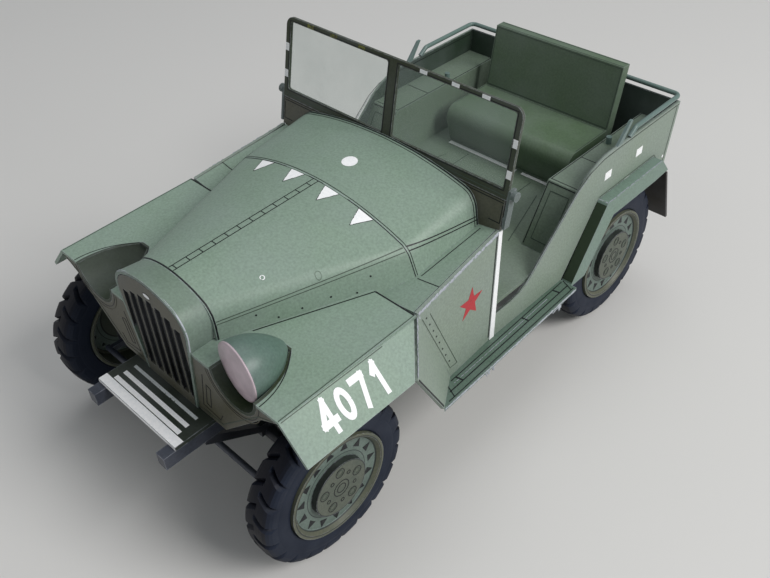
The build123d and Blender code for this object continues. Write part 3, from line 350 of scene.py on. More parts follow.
def make_inks():
    """The shared print materials: name, material, colour, roughness, share of wear and the card under it."""
    look = settings()
    for ink, *row in (
        ("black", "print_black", look.ink, 0.45),
        ("faint", "print_faint", shade(look.green, 0.3)),
        ("white", "print_white", look.white),
        ("worn_white", "print_worn_white", look.white, 0.5, 0.18, shade(look.green, 0.8)),
        ("stripe_grey", "print_stripe_grey", (0.66, 0.7, 0.7), 0.5, 0.1, shade(look.green, 0.5)),
        ("red", "print_red", look.red, 0.5, 0.05, shade(look.red, 0.6)),
        ("fibre", "worn_fibre", look.core, 0.6, 0.25, shade(look.green, 0.75)),
        ("pale", "cut_edge", (0.45, 0.48, 0.53), 0.6, 0.12, shade(look.green, 0.9)),
        # The yellow's worn ground and the olive lines are darker copies of the brown, so they carry its painted
        # shade.
        ("yellow", "print_worn_yellow", (0.19, 0.2, 0.035), 0.5, 0.45, shade(look.brown, 0.7)),
        ("olive", "print_olive", shade(look.brown, 0.8)),
        # This dark olive patch ink darkens the rear wings' forward faces: painted shade.
        ("moss", "print_moss", (0.03, 0.048, 0.026)),
        ("shadow", "print_shadow", shade(look.green, 0.55)),
    ):
        INKS[ink] = print_material(*row)


# ---- shapes of marks, in a panel's own two coordinates
def lengths(points):
    """Distance run along a line, at each of its corners."""
    return np.concatenate([[0.0], np.cumsum(np.linalg.norm(np.diff(points, axis=0), axis=1))])


def follow(points, along, samples):
    """Places at the given distances along a line."""
    return np.column_stack([np.interp(samples, along, points[:, k]) for k in range(2)])


def stroke(points, width, step=0.5):
    """Line along corners: every sample is moved half the width to both sides, at right angles to the line."""
    points = np.asarray(points, float)
    along = lengths(points)
    even = np.linspace(0, along[-1], max(int(along[-1] / step), 1) + 1)
    samples = np.unique(np.round(np.concatenate([even, along]), 5))
    samples = samples[np.concatenate([[True], np.diff(samples) > 1e-3])]
    half = np.full(len(samples), width / 2)
    return ribbon(follow(points, along, samples), half, half)


def bars(points, width):
    """Straight bars along corners, each a rectangle that runs half a width past both its ends."""
    points = np.asarray(points, float)
    heading = np.diff(points, axis=0)
    heading *= width / 2 / np.linalg.norm(heading, axis=1, keepdims=True)
    across = heading[:, ::-1] * (-1, 1)
    first, last = points[:-1] - heading, points[1:] + heading
    return [patch(*ends) for ends in zip(first - across, last - across, last + across, first + across)]


def ribbon(path, left, right):
    """Strip of quads round a centre line, with its own half width on either side at each sample."""
    heading = np.gradient(path, axis=0)
    heading /= np.linalg.norm(heading, axis=1, keepdims=True)
    across = np.column_stack([-heading[:, 1], heading[:, 0]])
    corners = np.concatenate([path + across * left[:, None], path - across * right[:, None]])
    return corners, grid_quads(2, len(path))[:, ::-1]


def ragged(points, width, seed, step=0.22):
    """Worn strip: a line whose half widths are seeded random numbers, smoothed once along it."""
    random = np.random.default_rng(seed)
    points = np.asarray(points, float)
    along = lengths(points)
    samples = np.linspace(0, along[-1], max(int(along[-1] / step), 2) + 1)
    halves = random.uniform(0.12, 0.75, (2, len(samples))) * width
    halves = (halves + np.roll(halves, 1, axis=1)) / 2
    return ribbon(follow(points, along, samples), *halves)


def patch(a, b, c, d, across=1, along=1):
    """Four-cornered area: corners blended linearly over a grid."""
    u, v = np.meshgrid(np.linspace(0, 1, across + 1), np.linspace(0, 1, along + 1))
    u, v = u.ravel()[:, None], v.ravel()[:, None]
    a, b, c, d = (np.asarray(p, float) for p in (a, b, c, d))
    corners = (a * (1 - u) + b * u) * (1 - v) + (d * (1 - u) + c * u) * v
    return corners, grid_quads(along + 1, across + 1)


def grid_quads(rows, columns, wrap_rows=False, wrap_columns=False):
    """Corner numbers of the quads of a grid stored row by row."""
    i = np.arange(rows if wrap_rows else rows - 1)
    j = np.arange(columns if wrap_columns else columns - 1)
    i, j = (a.ravel() for a in np.meshgrid(i, j, indexing="ij"))
    up, over = (i + 1) % rows, (j + 1) % columns
    return np.column_stack([i * columns + j, i * columns + over, up * columns + over, up * columns + j])


def wedge(tip, left, right, steps=6):
    """Triangle as a four-cornered area with two corners at the tip."""
    return patch(tip, tip, right, left, steps, steps)


def disc(centre, radius, rings=2, sides=28):
    """Filled circle: rings of points round the centre."""
    return ring(centre, radius / 2, radius, rings, sides)


def ring(centre, middle, width, rings=1, sides=28):
    """Circular band of a width about a middle radius; closed to a disc when the inner radius is 0."""
    radii = np.linspace(middle + width / 2, max(middle - width / 2, 0.0), rings + 1)
    turn = np.linspace(0, 2 * np.pi, sides, endpoint=False)
    corners = np.stack([np.outer(radii, np.cos(turn)), np.outer(radii, np.sin(turn))], axis=-1).reshape(-1, 2)
    return corners + np.asarray(centre, float), grid_quads(rings + 1, sides, wrap_columns=True)


def star(centre, radius, inner, turn=0.0):
    """Five-pointed star: ten corners at two radii in turn, closed to its centre."""
    angles = np.arange(10) * np.pi / 5 + np.pi / 2 + turn
    radii = np.where(np.arange(10) % 2 == 0, radius, inner)
    rim = np.column_stack([np.cos(angles), np.sin(angles)]) * radii[:, None]
    corners = np.concatenate([rim, np.zeros((10, 2))]) + np.asarray(centre, float)
    return corners, grid_quads(2, 10, wrap_columns=True)[:, ::-1]


def oval(centre, half_x, half_y, sides=24):
    """Closed line round an ellipse."""
    turn = np.linspace(0, 2 * np.pi, sides + 1)
    return np.column_stack([centre[0] + half_x * np.cos(turn), centre[1] + half_y * np.sin(turn)])


def loop(x0, y0, x1, y1):
    """Closed line round a rectangle."""
    return [(x0, y0), (x1, y0), (x1, y1), (x0, y1), (x0, y0)]


def line(points, ink="black", share=1.0, size=None, step=0.5, side=1):
    """Printed line, as wide as a share of the set line width or as a size in millimetres."""
    width = settings().line_width / MM * share if size is None else size
    return ink, stroke(np.asarray(points, float) * (side, 1), width, step)


def area(ink, x0, y0, x1, y1, across=1, along=1):
    """Printed rectangle."""
    return ink, patch((x0, y0), (x1, y0), (x1, y1), (x0, y1), across, along)


DIGITS = {
    "0": oval((0.5, 0.8), 0.4, 0.72),
    "1": [(0.22, 1.2), (0.56, 1.6), (0.56, 0.0)],
    "4": [(1.05, 0.48), (0.0, 0.48), (0.72, 1.6), (0.72, 0.0)],
    "7": [(0.02, 1.52), (0.95, 1.52), (0.38, 0.0)],
}


# ---- where marks lie
def plane_through(a, b, c, missing, outward):
    """Places two coordinates on the plane through three points: the missing one is solved from its equation.

    The result is lifted along the normal, on the side that the outward direction names.
    """
    a, b, c = (np.asarray(p, float) for p in (a, b, c))
    normal = np.cross(b - a, c - a)
    normal /= np.linalg.norm(normal)
    if normal @ np.asarray(outward, float) < 0:
        normal = -normal
    kept = [k for k in range(3) if k != missing]

    def place(flat, lift):
        spots = np.zeros((len(flat), 3))
        spots[:, kept] = flat
        spots[:, missing] = (normal @ a - flat @ normal[kept]) / normal[missing]
        return spots + normal * lift

    return place


def on_side(place, side):
    """The place itself on the car's left, its mirror image on the right."""

    def chosen(flat, lift):
        return place(flat, lift) * (side, 1, 1)

    return chosen


def level_place(level):
    return plane_through((0, 0, level), (1, 0, level), (0, 1, level), 2, (0, 0, 1))


def side_place(x, out=1):
    return plane_through((x, 0, 0), (x, 1, 0), (x, 0, 1), 0, (out, 0, 0))


def front_place(y):
    return plane_through((0, y, 0), (1, y, 0), (0, y, 1), 1, (0, -1, 0))


def hinged_place(foot, head, facing=-1):
    """Plane that runs straight across the car and leans from a foot (station, level) to a head."""
    return plane_through((0, *foot), (1, *foot), (0, *head), 1, (0, facing, 0))


def screen_place(flat, lift):
    """Front of the windscreen and dash: x and height, leaning back at the screen's angle."""
    spots = np.column_stack([flat[:, 0], SCREEN_GROUND + flat[:, 1] * np.tan(SCREEN_LEAN), flat[:, 1]])
    return spots + np.array([0, -np.cos(SCREEN_LEAN), np.sin(SCREEN_LEAN)]) * lift


def screen_back_place(flat, lift):
    """Rear of the windscreen, one card thickness behind its front."""
    return screen_place(flat, -CARD - lift)


def board_edge(y):
    """Half width of a running board at a station, on the straight line between its two outer corners."""
    share = (y - BOARD_CORNER[1]) / (BOARD_REAR[1] - BOARD_CORNER[1])
    return BOARD_CORNER[0] + share * (BOARD_REAR[0] - BOARD_CORNER[0])


wing_top = plane_through(
    (0, WING_FRONT, WING_FOLD[1]), (1, WING_FRONT, WING_FOLD[1]), (0, WING_REAR, WING_FOLD[2]), 2, (0, 0, 1)
)
wing_flap = plane_through(
    (WING_FOLD[0], WING_FRONT, WING_FOLD[1]),
    (FLAP_EDGE[0], WING_FRONT, FLAP_EDGE[1]),
    (WING_FOLD[0], WING_REAR, WING_FOLD[1]),
    0,
    (1, 0, 1),
)
cowl_side = plane_through(SIDE_FOOT_REAR, SIDE_TOP_REAR, COWL_CORNER, 0, (1, 0, 0))
splash = plane_through(SIDE_FOOT_FRONT, COWL_CORNER, BOARD_CORNER, 1, (0, 1, 0))
deck = plane_through(COWL_CORNER, SIDE_TOP_REAR, (24.2, HOOD_REAR, 42.9), 2, (0, 0, 1))


# ---- meshes
@contextmanager
def editing(mesh):
    """A mesh opened for bmesh operations and written back after them."""
    work = bmesh.new()
    work.from_mesh(mesh)
    yield work
    work.to_mesh(mesh)
    work.free()


def make_piece(name, corners, faces, materials, body, indices=None, smooth=False):
    """One object from corner and face arrays in millimetres, doubles merged, riding on a body."""
    mesh = bpy.data.meshes.new(name)
    mesh.from_pydata(((np.asarray(corners) + SHIFT) * MM).tolist(), [], np.asarray(faces).tolist())
    for material in materials:
        mesh.materials.append(material)
    if indices is not None:
        mesh.polygons.foreach_set("material_index", np.asarray(indices, np.int32))
    mesh.polygons.foreach_set("use_smooth", np.full(len(mesh.polygons), smooth))
    mesh.update()
    piece = bpy.data.objects.new(name, mesh)
    bpy.context.scene.collection.objects.link(piece)
    with editing(mesh) as work:
        bmesh.ops.remove_doubles(work, verts=work.verts, dist=1e-7)
        bmesh.ops.dissolve_degenerate(work, edges=work.edges, dist=1e-7)
    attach(piece, body)
    return piece


def outward_shell(piece):
    """Points the faces of one closed shell outwards."""
    with editing(piece.data) as work:
        bmesh.ops.recalc_face_normals(work, faces=work.faces)


def face_outwards(piece, outward=None):
    """Turns a print's faces to look along a direction or, without one, away from the car's middle line."""
    mesh = piece.data
    normals, centres = np.zeros((2, len(mesh.polygons) * 3), np.float32)
    mesh.polygons.foreach_get("normal", normals)
    mesh.polygons.foreach_get("center", centres)
    middle_line = np.array([SHIFT[0] * MM, 0, 0.03], np.float32)
    away = centres.reshape(-1, 3) - middle_line if outward is None else np.array(outward, np.float32)
    inward = (normals.reshape(-1, 3) * away).sum(1) < 0
    with editing(mesh) as work:
        work.faces.ensure_lookup_table()
        bmesh.ops.reverse_faces(work, faces=[work.faces[int(k)] for k in np.nonzero(inward)[0]])


def wrap(piece, node, way):
    """Bakes a drop onto a CAD node: straight down or in from a side, or to the nearest point."""
    modifier = piece.modifiers.new("Lay", "SHRINKWRAP")
    modifier.target = NODES[node]
    modifier.wrap_mode = "ABOVE_SURFACE"
    modifier.offset = settings().print_lift
    modifier.wrap_method = "NEAREST_SURFACEPOINT" if way == "near" else "PROJECT"
    if way != "near":
        modifier.use_project_x = way in ("left", "right")
        modifier.use_project_z = way == "down"
        modifier.use_negative_direction = way in ("left", "down")
        modifier.use_positive_direction = way == "right"
    mesh = bpy.data.meshes.new_from_object(piece.evaluated_get(bpy.context.evaluated_depsgraph_get()))
    piece.modifiers.clear()
    piece.data = mesh


def thicken(piece, name, thickness, offset):
    sheet = piece.modifiers.new(name, "SOLIDIFY")
    sheet.thickness = thickness
    sheet.offset = offset


def lay(name, marks, place, node=None, way=None, outward=None):
    """One print piece: marks are (ink, (corners, quads)) pairs; place turns them into space, a node bends them."""
    look = settings()
    corners, faces, indices, inks = [], [], [], []
    total = 0
    for number, (ink, (flat, quads)) in enumerate(marks):
        lift = look.print_lift / MM + LAYER_STEP * (number % LAYERS)
        corners.append(place(flat, lift) if place else flat)
        faces.append(quads + total)
        if ink not in inks:
            inks.append(ink)
        indices.append(np.full(len(quads), inks.index(ink)))
        total += len(flat)
    corners, faces, indices = (np.concatenate(parts) for parts in (corners, faces, indices))
    piece = make_piece(name, corners, faces, [INKS[ink] for ink in inks], BODY, indices)
    if node:
        wrap(piece, node, way)
    face_outwards(piece, outward)
    thicken(piece, "Layer", look.print_thickness, -1.0)
    return piece


def lay_both(name, marks, place, node=None, outward=None):
    """The same print on the car's left and, mirrored, on its right."""
    for side, side_name in SIDES:
        facing = outward and (side * outward[0], *outward[1:])
        lay(name + side_name, marks, on_side(place, side), node, side_name, facing)


def paint(node, material):
    """Gives a CAD node one material."""
    target = NODES[node]
    if not target.material_slots:
        target.data.materials.append(material)
    for slot in target.material_slots:
        slot.material = material


# ---- operators
class ScoutOperator:
    """What every operator of the car shares."""

    bl_options = {"REGISTER", "UNDO"}


class SCOUT_OT_paint(ScoutOperator, bpy.types.Operator):
    """Give every packed panel its printed card"""

    bl_idname = "scout.paint"
    bl_label = "Paint the card panels"

    def execute(self, context):
        look = settings()
        make_inks()
        card = card_material
        for material, names in (
            (card("green_card", look.green), "bonnet cowl_top cowl_deck_*"),
            (card("green_card_wings", shade(look.green, 1.04)), "front_wing_*"),
            (card("green_card_sides", look.side, inner=look.inner), "cowl_side_* tub_side_* tub_rear"),
            (card("green_card_rear_wings", (0.157, 0.234, 0.186)), "rear_wing_*"),
            # The radiator shell is a darker copy of the green card: painted shade.
            (card("green_card_shell_painted_shade", shade(look.green, 0.72)), "radiator_shell"),
            # The lamp pockets' inside is near-black olive: painted shade in the recesses.
            (card("pocket_card_painted_shade", (0.036, 0.05, 0.026), 0.14, 0.4, specular=0.12), "lamp_pocket_*"),
            # The grille face takes the brown painted shade of forward faces; its sideways slot walls and the radiator
            # core behind are near black, painted shade in the slots.
            (card("grille_card", look.brown, 0.16, 0.5, walls=(0.004, 0.004, 0.003)), "grille"),
            (card("void_card_painted_shade", (0.003, 0.0035, 0.0035), 0.2, 0.0, (0.6, 0.75), 0.1), "radiator_core"),
            # Dash and aprons face forward and take the brown: painted shade.
            (card("brown_card", look.brown, 0.16, 0.8), "dash front_apron_*"),
            (card("frame_card", (0.048, 0.058, 0.032), 0.16, 0.9, (0.4, 0.55), 0.25), "windscreen_frame"),
            (card("bracket_card", (0.11, 0.14, 0.13), 0.14, 0.8), "screen_bracket_*"),
            (card("inside_card", look.inside, 0.14, 0.5), "floor bulkhead wheel_box_*"),
            (card("seat_card", look.seat, 0.12, 0.45), "bench_cushion bench_back"),
            (card("flap_card", look.flap_brown, 0.2, 0.35), "mud_flap_*"),
            (card("chassis_card", look.chassis, 0.25, 0.8), "chassis_rail_* cross_members tie_rod"),
            # Axles and springs take a darker copy of the chassis card: painted shade under the car.
            (
                card("dark_card", shade(look.chassis, 0.35), 0.25, 0.3),
                "front_axle rear_axle front_springs rear_springs",
            ),
            (card("rod_paint", look.rod, 0.08, 0.6, (0.3, 0.42)), "grab_rail side_posts box_catches"),
            (card("board_card", (0.092, 0.146, 0.11), 0.16, 0.9), "running_board_*"),
            (card("platform_card", (0.018, 0.026, 0.015), 0.2, 0.9), "front_platform"),
            (card("lamp_card", (0.096, 0.158, 0.128), 0.12, 0.6, (0.32, 0.46)), "headlamp_shell"),
            (film_material("film"), "windscreen_pane_*"),
        ):
            for name in names.split():
                for _, side_name in SIDES:
                    paint(name.replace("*", side_name), material)
        return {"FINISHED"}


def wheel_at(place):
    """Side, axle station and extra stand-out of the wheel at a place."""
    side = 1 if "left" in place else -1
    return side, AXLE_F if "front" in place else AXLE_R, FRONT_RIGHT_OUT if place == "front_right" else 0.0


# One half of the tread's section: distance from its middle, radius, share of the lug height.
TREAD_HALF = (
    (1.0, 10.62, 0.0), (2.7, 10.62, 0.0), (2.92, 10.95, 0.0), (3.02, 11.5, 0.0), (3.07, 12.3, 0.0),
    (3.08, 12.9, 0.0), (3.06, 13.3, 0.0), (3.03, 13.5, 0.0), (3.02, 13.62, 0.45), (2.97, 13.95, 0.72),
    (2.8, 14.35, 0.88), (2.45, 14.72, 0.97), (1.9, 14.95, 1.0), (1.2, 15.06, 1.0), (0.6, 15.1, 1.0),
    (0.16, 15.1, 1.0),
)
# Samples of one pitch, closer together where a lug rises.
PITCH_STEPS = (0, 0.05, 0.1, 0.15, 0.2, 0.28, 0.35, 0.4, 0.45, 0.5, 0.55, 0.6, 0.65, 0.7, 0.78, 0.85, 0.9, 0.95)
LUG_RAMP = 0.15  # share of a pitch over which a lug rises out of its groove


def tread_surface(look):
    """Tread about an axle along X: a closed section swept once round it.

    A point's radius is its section radius plus its share of the lug height times a lug wave, which is 0 in the
    middle of a groove and climbs to 1 within the ramp. The second row's wave is half a pitch behind the first's.
    The angle is the turn plus a lean that grows with the distance from the tread's middle.
    """
    half = np.array(TREAD_HALF)
    section = np.concatenate([half * (-1, 1, 1), half[::-1]])
    turns = (np.arange(look.lug_count)[:, None] + np.array(PITCH_STEPS)).ravel()
    out, radius, share = (column[:, None] for column in section.T)
    from_groove = np.abs((turns + np.where(out > 0, 0.0, 0.5)) % 1.0 - 0.5)
    lug = share * np.clip(from_groove / LUG_RAMP, 0.0, 1.0) ** 0.7
    lean = look.lug_slant * np.abs(out) / 3.1 * (radius > 11)
    angle = 2 * np.pi * (turns + lean) / look.lug_count - np.pi / 2
    reach = radius + look.lug_height / MM * lug
    across = out + np.sign(out) * np.where(np.abs(out) > 2.8, 0.06 * lug, 0.0)
    grid = np.stack([across, reach * np.cos(angle), reach * np.sin(angle)], axis=-1)
    return grid.reshape(-1, 3), grid_quads(len(section), len(turns), wrap_rows=True, wrap_columns=True)


class SCOUT_OT_tyres(ScoutOperator, bpy.types.Operator):
    """Make the four tyres with two staggered rows of slanted lugs"""

    bl_idname = "scout.tyres"
    bl_label = "Make the tyres"

    def execute(self, context):
        material = tyre_material("tyre_card")
        corners, faces = tread_surface(settings())
        for place in PLACES:
            side, axle, out = wheel_at(place)
            spots = corners * (side, 1, 1) + (side * (TREAD_MIDDLE + out), axle, AXLE_LEVEL)
            turned = faces[:, ::side]
            piece = make_piece("tyre_tread_" + place, spots, turned, [material], "roll_" + place)
            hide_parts("tyre_" + place)
        return {"FINISHED"}


def wheel_place(x, side, axle):
    """A wheel's face, with the marks' two coordinates counted from its axle."""
    flat_place = side_place(side * x, side)

    def place(flat, lift):
        return flat_place(flat + (axle, AXLE_LEVEL), lift)

    return place


class SCOUT_OT_wheels(ScoutOperator, bpy.types.Operator):
    """Print the wheels and their hub plates"""

    bl_idname = "scout.wheels"
    bl_label = "Print the wheels"

    def execute(self, context):
        width = settings().line_width / MM
        hub_marks = [("black", ring((0, 0), radius, width)) for radius in (0.95, 1.7)]
        for nut in range(5):
            for share, reach, size in ((0.0, 3.95, 0.95), (0.5, 3.2, 0.36)):
                turn = 2 * np.pi * (nut + share) / 5 + 0.3
                spot = (reach * np.cos(turn), reach * np.sin(turn))
                hub_marks.append(("black", ring(spot, size, width * 0.9)))
                if share == 0:
                    hub_marks.append(("faint", ring(spot, size * 0.6, width * 0.6)))
        vent = np.array([(9.15, 0.05), (7.45, -0.95), (7.45, 0.8)])
        vent_marks = []
        for turn in 2 * np.pi * np.arange(15) / 15:
            heading = np.array([(np.cos(turn), np.sin(turn)), (-np.sin(turn), np.cos(turn))])
            vent_marks.append(("black", wedge(*(vent @ heading), 2)))
        for place in PLACES:
            side, axle, out = wheel_at(place)
            paint("wheel_" + place, wheel_material("wheel_print_" + place, axle))
            for name, marks, face in (("hub_print_", hub_marks, HUB_FACE), ("vent_print_", vent_marks, DISC_FACE)):
                on_wheel = wheel_place(face + out, side, axle)
                piece = lay(name + place, marks, on_wheel, outward=(side, 0, 0))
                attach(piece, "roll_" + place)
        return {"FINISHED"}


# Right halves of the arched sections: corners (half width, level) from the foot to the crown.
REAR_ARCH = ((24.3, 41.9), (23.3, 44.4), (22.3, 46.8), (20.8, 48.3), (17.0, 49.6), (10.0, 51.2), (0.0, 52.1))
FRONT_ARCH = ((10.3, 42.3), (10.3, 45.0), (10.0, 47.2), (8.9, 49.0), (6.0, 50.5), (0.0, 51.2))
SCREEN_ARCH = ((25.0, 43.5), (24.4, 46.0), (23.4, 48.6), (21.5, 50.6), (15.0, 52.0), (8.0, 52.9), (0.0, 53.2))


def arch_band(half, station, width, leaning=False):
    """Ribbon over an arch and as wide along the car as asked; a leaning one is counted from the windscreen."""
    half = np.array(half)
    arch = np.concatenate([half * (-1, 1), half[-2::-1]])
    along = lengths(arch)
    x, z = follow(arch, along, np.linspace(0, along[-1], 180)).T
    y = station + (SCREEN_GROUND + z * np.tan(SCREEN_LEAN) if leaning else 0 * z)
    corners = np.concatenate([np.column_stack([x, y + s * width / 2, z]) for s in (-1, 1)])
    return corners, grid_quads(2, len(x))


class SCOUT_OT_bonnet(ScoutOperator, bpy.types.Operator):
    """Print the bonnet, cowl top and radiator shell"""

    bl_idname = "scout.bonnet"
    bl_label = "Print the bonnet"

    def execute(self, context):
        above = level_place(60.0)
        marks = [line([(x, -47.3), (x, -15.9)]) for x in (-0.62, 0.62)]
        marks += [line([(-0.62, y), (0.62, y)], step=0.3) for y in np.linspace(-46.6, -17.7, 12)]
        for x, y, left, right in (
            (-13.1, -19.8, -14.9, -11.4), (-4.5, -19.9, -6.4, -2.9), (4.3, -19.9, 2.5, 6.0), (12.4, -19.9, 10.8, 14.2)
        ):
            corners = [(left, -16.1), (x, y), (right, -16.1)]
            marks += [("white", wedge(corners[1], corners[0], corners[2])), line(corners, share=0.7, step=0.3)]
        marks.append(("worn_white", ring((10.8, -37.8), 0.36, 0.14)))
        marks.append(("shadow", ring((15.7, -30.4), 0.5, 0.08)))
        lay("bonnet_print", marks, above, node="bonnet", way="down")
        lay("cowl_print", [("white", disc((0.75, -8.3), 1.5))], above, node="cowl_top", way="down")

        rivets = ((-41.4, 44.8), (-34.4, 43.4), (-29.7, 43.8), (-22.8, 45.2), (-25.6, 43.1), (-38.2, 43.1))
        beside = side_place(40.0)
        marks = [line([(-47.3, 45.95 - drop), (-16.1, 47.75 - drop)], "faint", 0.8) for drop in (0.0, 0.55)]
        marks += [("black", disc(rivet, 0.17, 1, 12)) for rivet in rivets]
        lay_both("bonnet_side_print_", marks, beside, node="bonnet")
        seam = np.array([(-15.5, 47.75), (-6.0, 46.95), (0.0, 46.5)])
        marks = [line(seam - (0, drop), share=1.1) for drop in (0.0, 0.6)]
        lay_both("cowl_side_seam_", marks, beside, node="cowl_top")

        for name, node, ink, *band in (
            ("bonnet_rear_line", "bonnet", "black", REAR_ARCH, -15.92, 0.16),
            ("cowl_front_line", "cowl_top", "black", REAR_ARCH, -15.42, 0.12),
            ("bonnet_front_line", "bonnet", "black", FRONT_ARCH, -47.52, 0.28),
            ("shell_front_line", "radiator_shell", "pale", FRONT_ARCH, -52.38, 0.22),
            ("cowl_rear_line", "cowl_top", "black", SCREEN_ARCH, -0.35, 0.3, True),
            ("cowl_rear_line_inner", "cowl_top", "black", SCREEN_ARCH, -0.95, 0.14, True),
        ):
            lay(name, [(ink, arch_band(*band))], None, node=node, way="near")
        return {"FINISHED"}


# The figures on a wing: start, run of all of them, pitch, width, foot, height and stroke, in millimetres.
FIGURE_START, FIGURE_RUN, FIGURE_PITCH, FIGURE_WIDE = -46.5, 13.6, 3.65, 2.35
FIGURE_FOOT, FIGURE_TALL, FIGURE_STROKE = 37.55, 2.2, 0.86


class SCOUT_OT_wings(ScoutOperator, bpy.types.Operator):
    """Print the front wings, their figures and the lamp recess outlines"""

    bl_idname = "scout.wings"
    bl_label = "Print the front wings"

    def execute(self, context):
        back = np.linspace(0, 1, 24)
        reach = 5.7 + 0.65 - 4.9 * back**2.1
        spine = WING_FRONT + 0.1 + back * 10.55
        outer_edge = np.column_stack([LAMP_CENTRE[0] + reach, spine])
        inner_edge = np.column_stack([LAMP_CENTRE[0] - reach, spine])[::-1]
        marks = [
            line(np.concatenate([outer_edge, inner_edge[:15]]), step=0.4),
            line([(12.75, -42.6), (21.25, -23.1)], share=1.3),
            line([(29.95, WING_FRONT + 0.2), (29.95, WING_REAR - 0.1)], "faint", size=0.15),
            line([(21.3, WING_REAR - 0.16), (30.0, WING_REAR - 0.16)], size=0.28),
        ]
        lay_both("wing_top_print_", marks, wing_top)
        for side, name in SIDES:
            marks = []
            for number, digit in enumerate(FIGURES):
                shape = np.array(DIGITS[digit], float)
                run = shape[:, 0] * FIGURE_WIDE + number * FIGURE_PITCH
                y = FIGURE_START + (run if side > 0 else FIGURE_RUN - run)
                path = np.column_stack([y, FIGURE_FOOT + shape[:, 1] * FIGURE_TALL])
                round_one = len(shape) > 8
                shapes = [stroke(path, FIGURE_STROKE, 0.3)] if round_one else bars(path, FIGURE_STROKE)
                marks += [("white", shape) for shape in shapes]
            marks.append(line([(WING_FRONT + 0.3, 41.86), (-31.0, 41.86)], "faint", size=0.1))
            lay("wing_flap_print_" + name, marks, on_side(wing_flap, side))
        return {"FINISHED"}


class SCOUT_OT_front(ScoutOperator, bpy.types.Operator):
    """Print the aprons, grille and front platform"""

    bl_idname = "scout.front"
    bl_label = "Print the front"

    def execute(self, context):
        turn = np.linspace(np.pi + 0.05, 2 * np.pi - 0.05, 26)
        circle = np.column_stack([np.cos(turn), np.sin(turn)])
        bowl = LAMP_CENTRE + circle * (6.35, 6.45)
        wide = LAMP_CENTRE + circle * (6.95, 7.05)
        lines = (
            ("black", bowl[bowl[:, 1] < 41.2]),
            ("olive", wide[(wide[:, 1] < 41.2) & (wide[:, 0] < 25.6)]),
            ("black", [(11.1, 38.6), (9.2, 30.2), (13.6, 29.6), (14.6, 31.4)]),
            ("black", [(11.6, 36.6), (10.4, 31.3), (11.5, 31.0), (12.6, 36.2), (11.6, 36.6)]),
            ("faint", [(9.0, 28.9), (14.1, 28.9), (25.3, 39.6), (28.6, 41.0)]),
        )
        marks = [line(path, ink, 0.9, step=0.4) for ink, path in lines]
        lay_both("apron_print_", marks, front_place(WING_FRONT))

        badge_level = 48.75
        flat, quads = disc((0, 0), 0.5)
        marks = [
            ("white", (flat * (1.9, 0.9) + (0, badge_level), quads)),
            line(oval((0, badge_level), 0.98, 0.46), size=0.12, step=0.2),
        ]
        for x in (np.arange(6) - 2.5) * 2.4:
            head = 47.3 - 0.035 * x**2 - 0.5
            marks += [line([(edge, head), (edge, 31.2)], size=0.2) for edge in (x - 0.33, x + 0.33)]
        lay("grille_print", marks, front_place(-52.55))

        marks = [
            area(ink, -half, low, half, high)
            for ink, half, low, high in (
                ("white", 11.38, -60.22, -58.5),
                ("white", 9.5, -58.32, -57.45),
                ("white", 9.3, -56.55, -55.75),
                ("stripe_grey", 9.15, -54.45, -53.85),
            )
        ]
        lay("platform_print", marks, level_place(PLATFORM_TOP))
        lay("platform_edge_print", [area("white", -11.35, 27.15, 11.35, 27.85)], front_place(-60.25))
        return {"FINISHED"}


def lamp_surface(radius=5.18, rise=0.42, thickness=0.25, spokes=64, rings=12):
    """Domed disc across, up and ahead: the front's depth falls with the square of the share of the radius.

    The back is the same sheet one thickness behind, joined to the front along the rim.
    """
    share = np.linspace(0, 1, rings + 1)[:, None]
    turn = np.linspace(0, 2 * np.pi, spokes, endpoint=False)
    depth = rise * (1 - share**2) * np.ones(spokes) + thickness + 0.02
    front = np.stack([radius * share * np.cos(turn), radius * share * np.sin(turn), depth], axis=-1)
    grid = np.concatenate([front, front[::-1] - (0, 0, thickness)])
    return grid.reshape(-1, 3), grid_quads(len(grid), spokes, wrap_columns=True)


class SCOUT_OT_lamp(ScoutOperator, bpy.types.Operator):
    """Make the headlamp's domed disc"""

    bl_idname = "scout.lamp"
    bl_label = "Make the headlamp disc"

    def execute(self, context):
        flat, faces = lamp_surface()
        toe = np.radians(7.0)
        axes = np.array([(np.cos(toe), -np.sin(toe), 0), (0, 0, 1), (-np.sin(toe), -np.cos(toe), 0)])
        spots = flat @ axes + (18.9, AXLE_F - 8.6, 43.3)
        material = lens_material("lens_card")
        piece = make_piece("headlamp_disc", spots, faces, [material], BODY, smooth=True)
        outward_shell(piece)
        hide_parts("headlamp_lens")
        return {"FINISHED"}


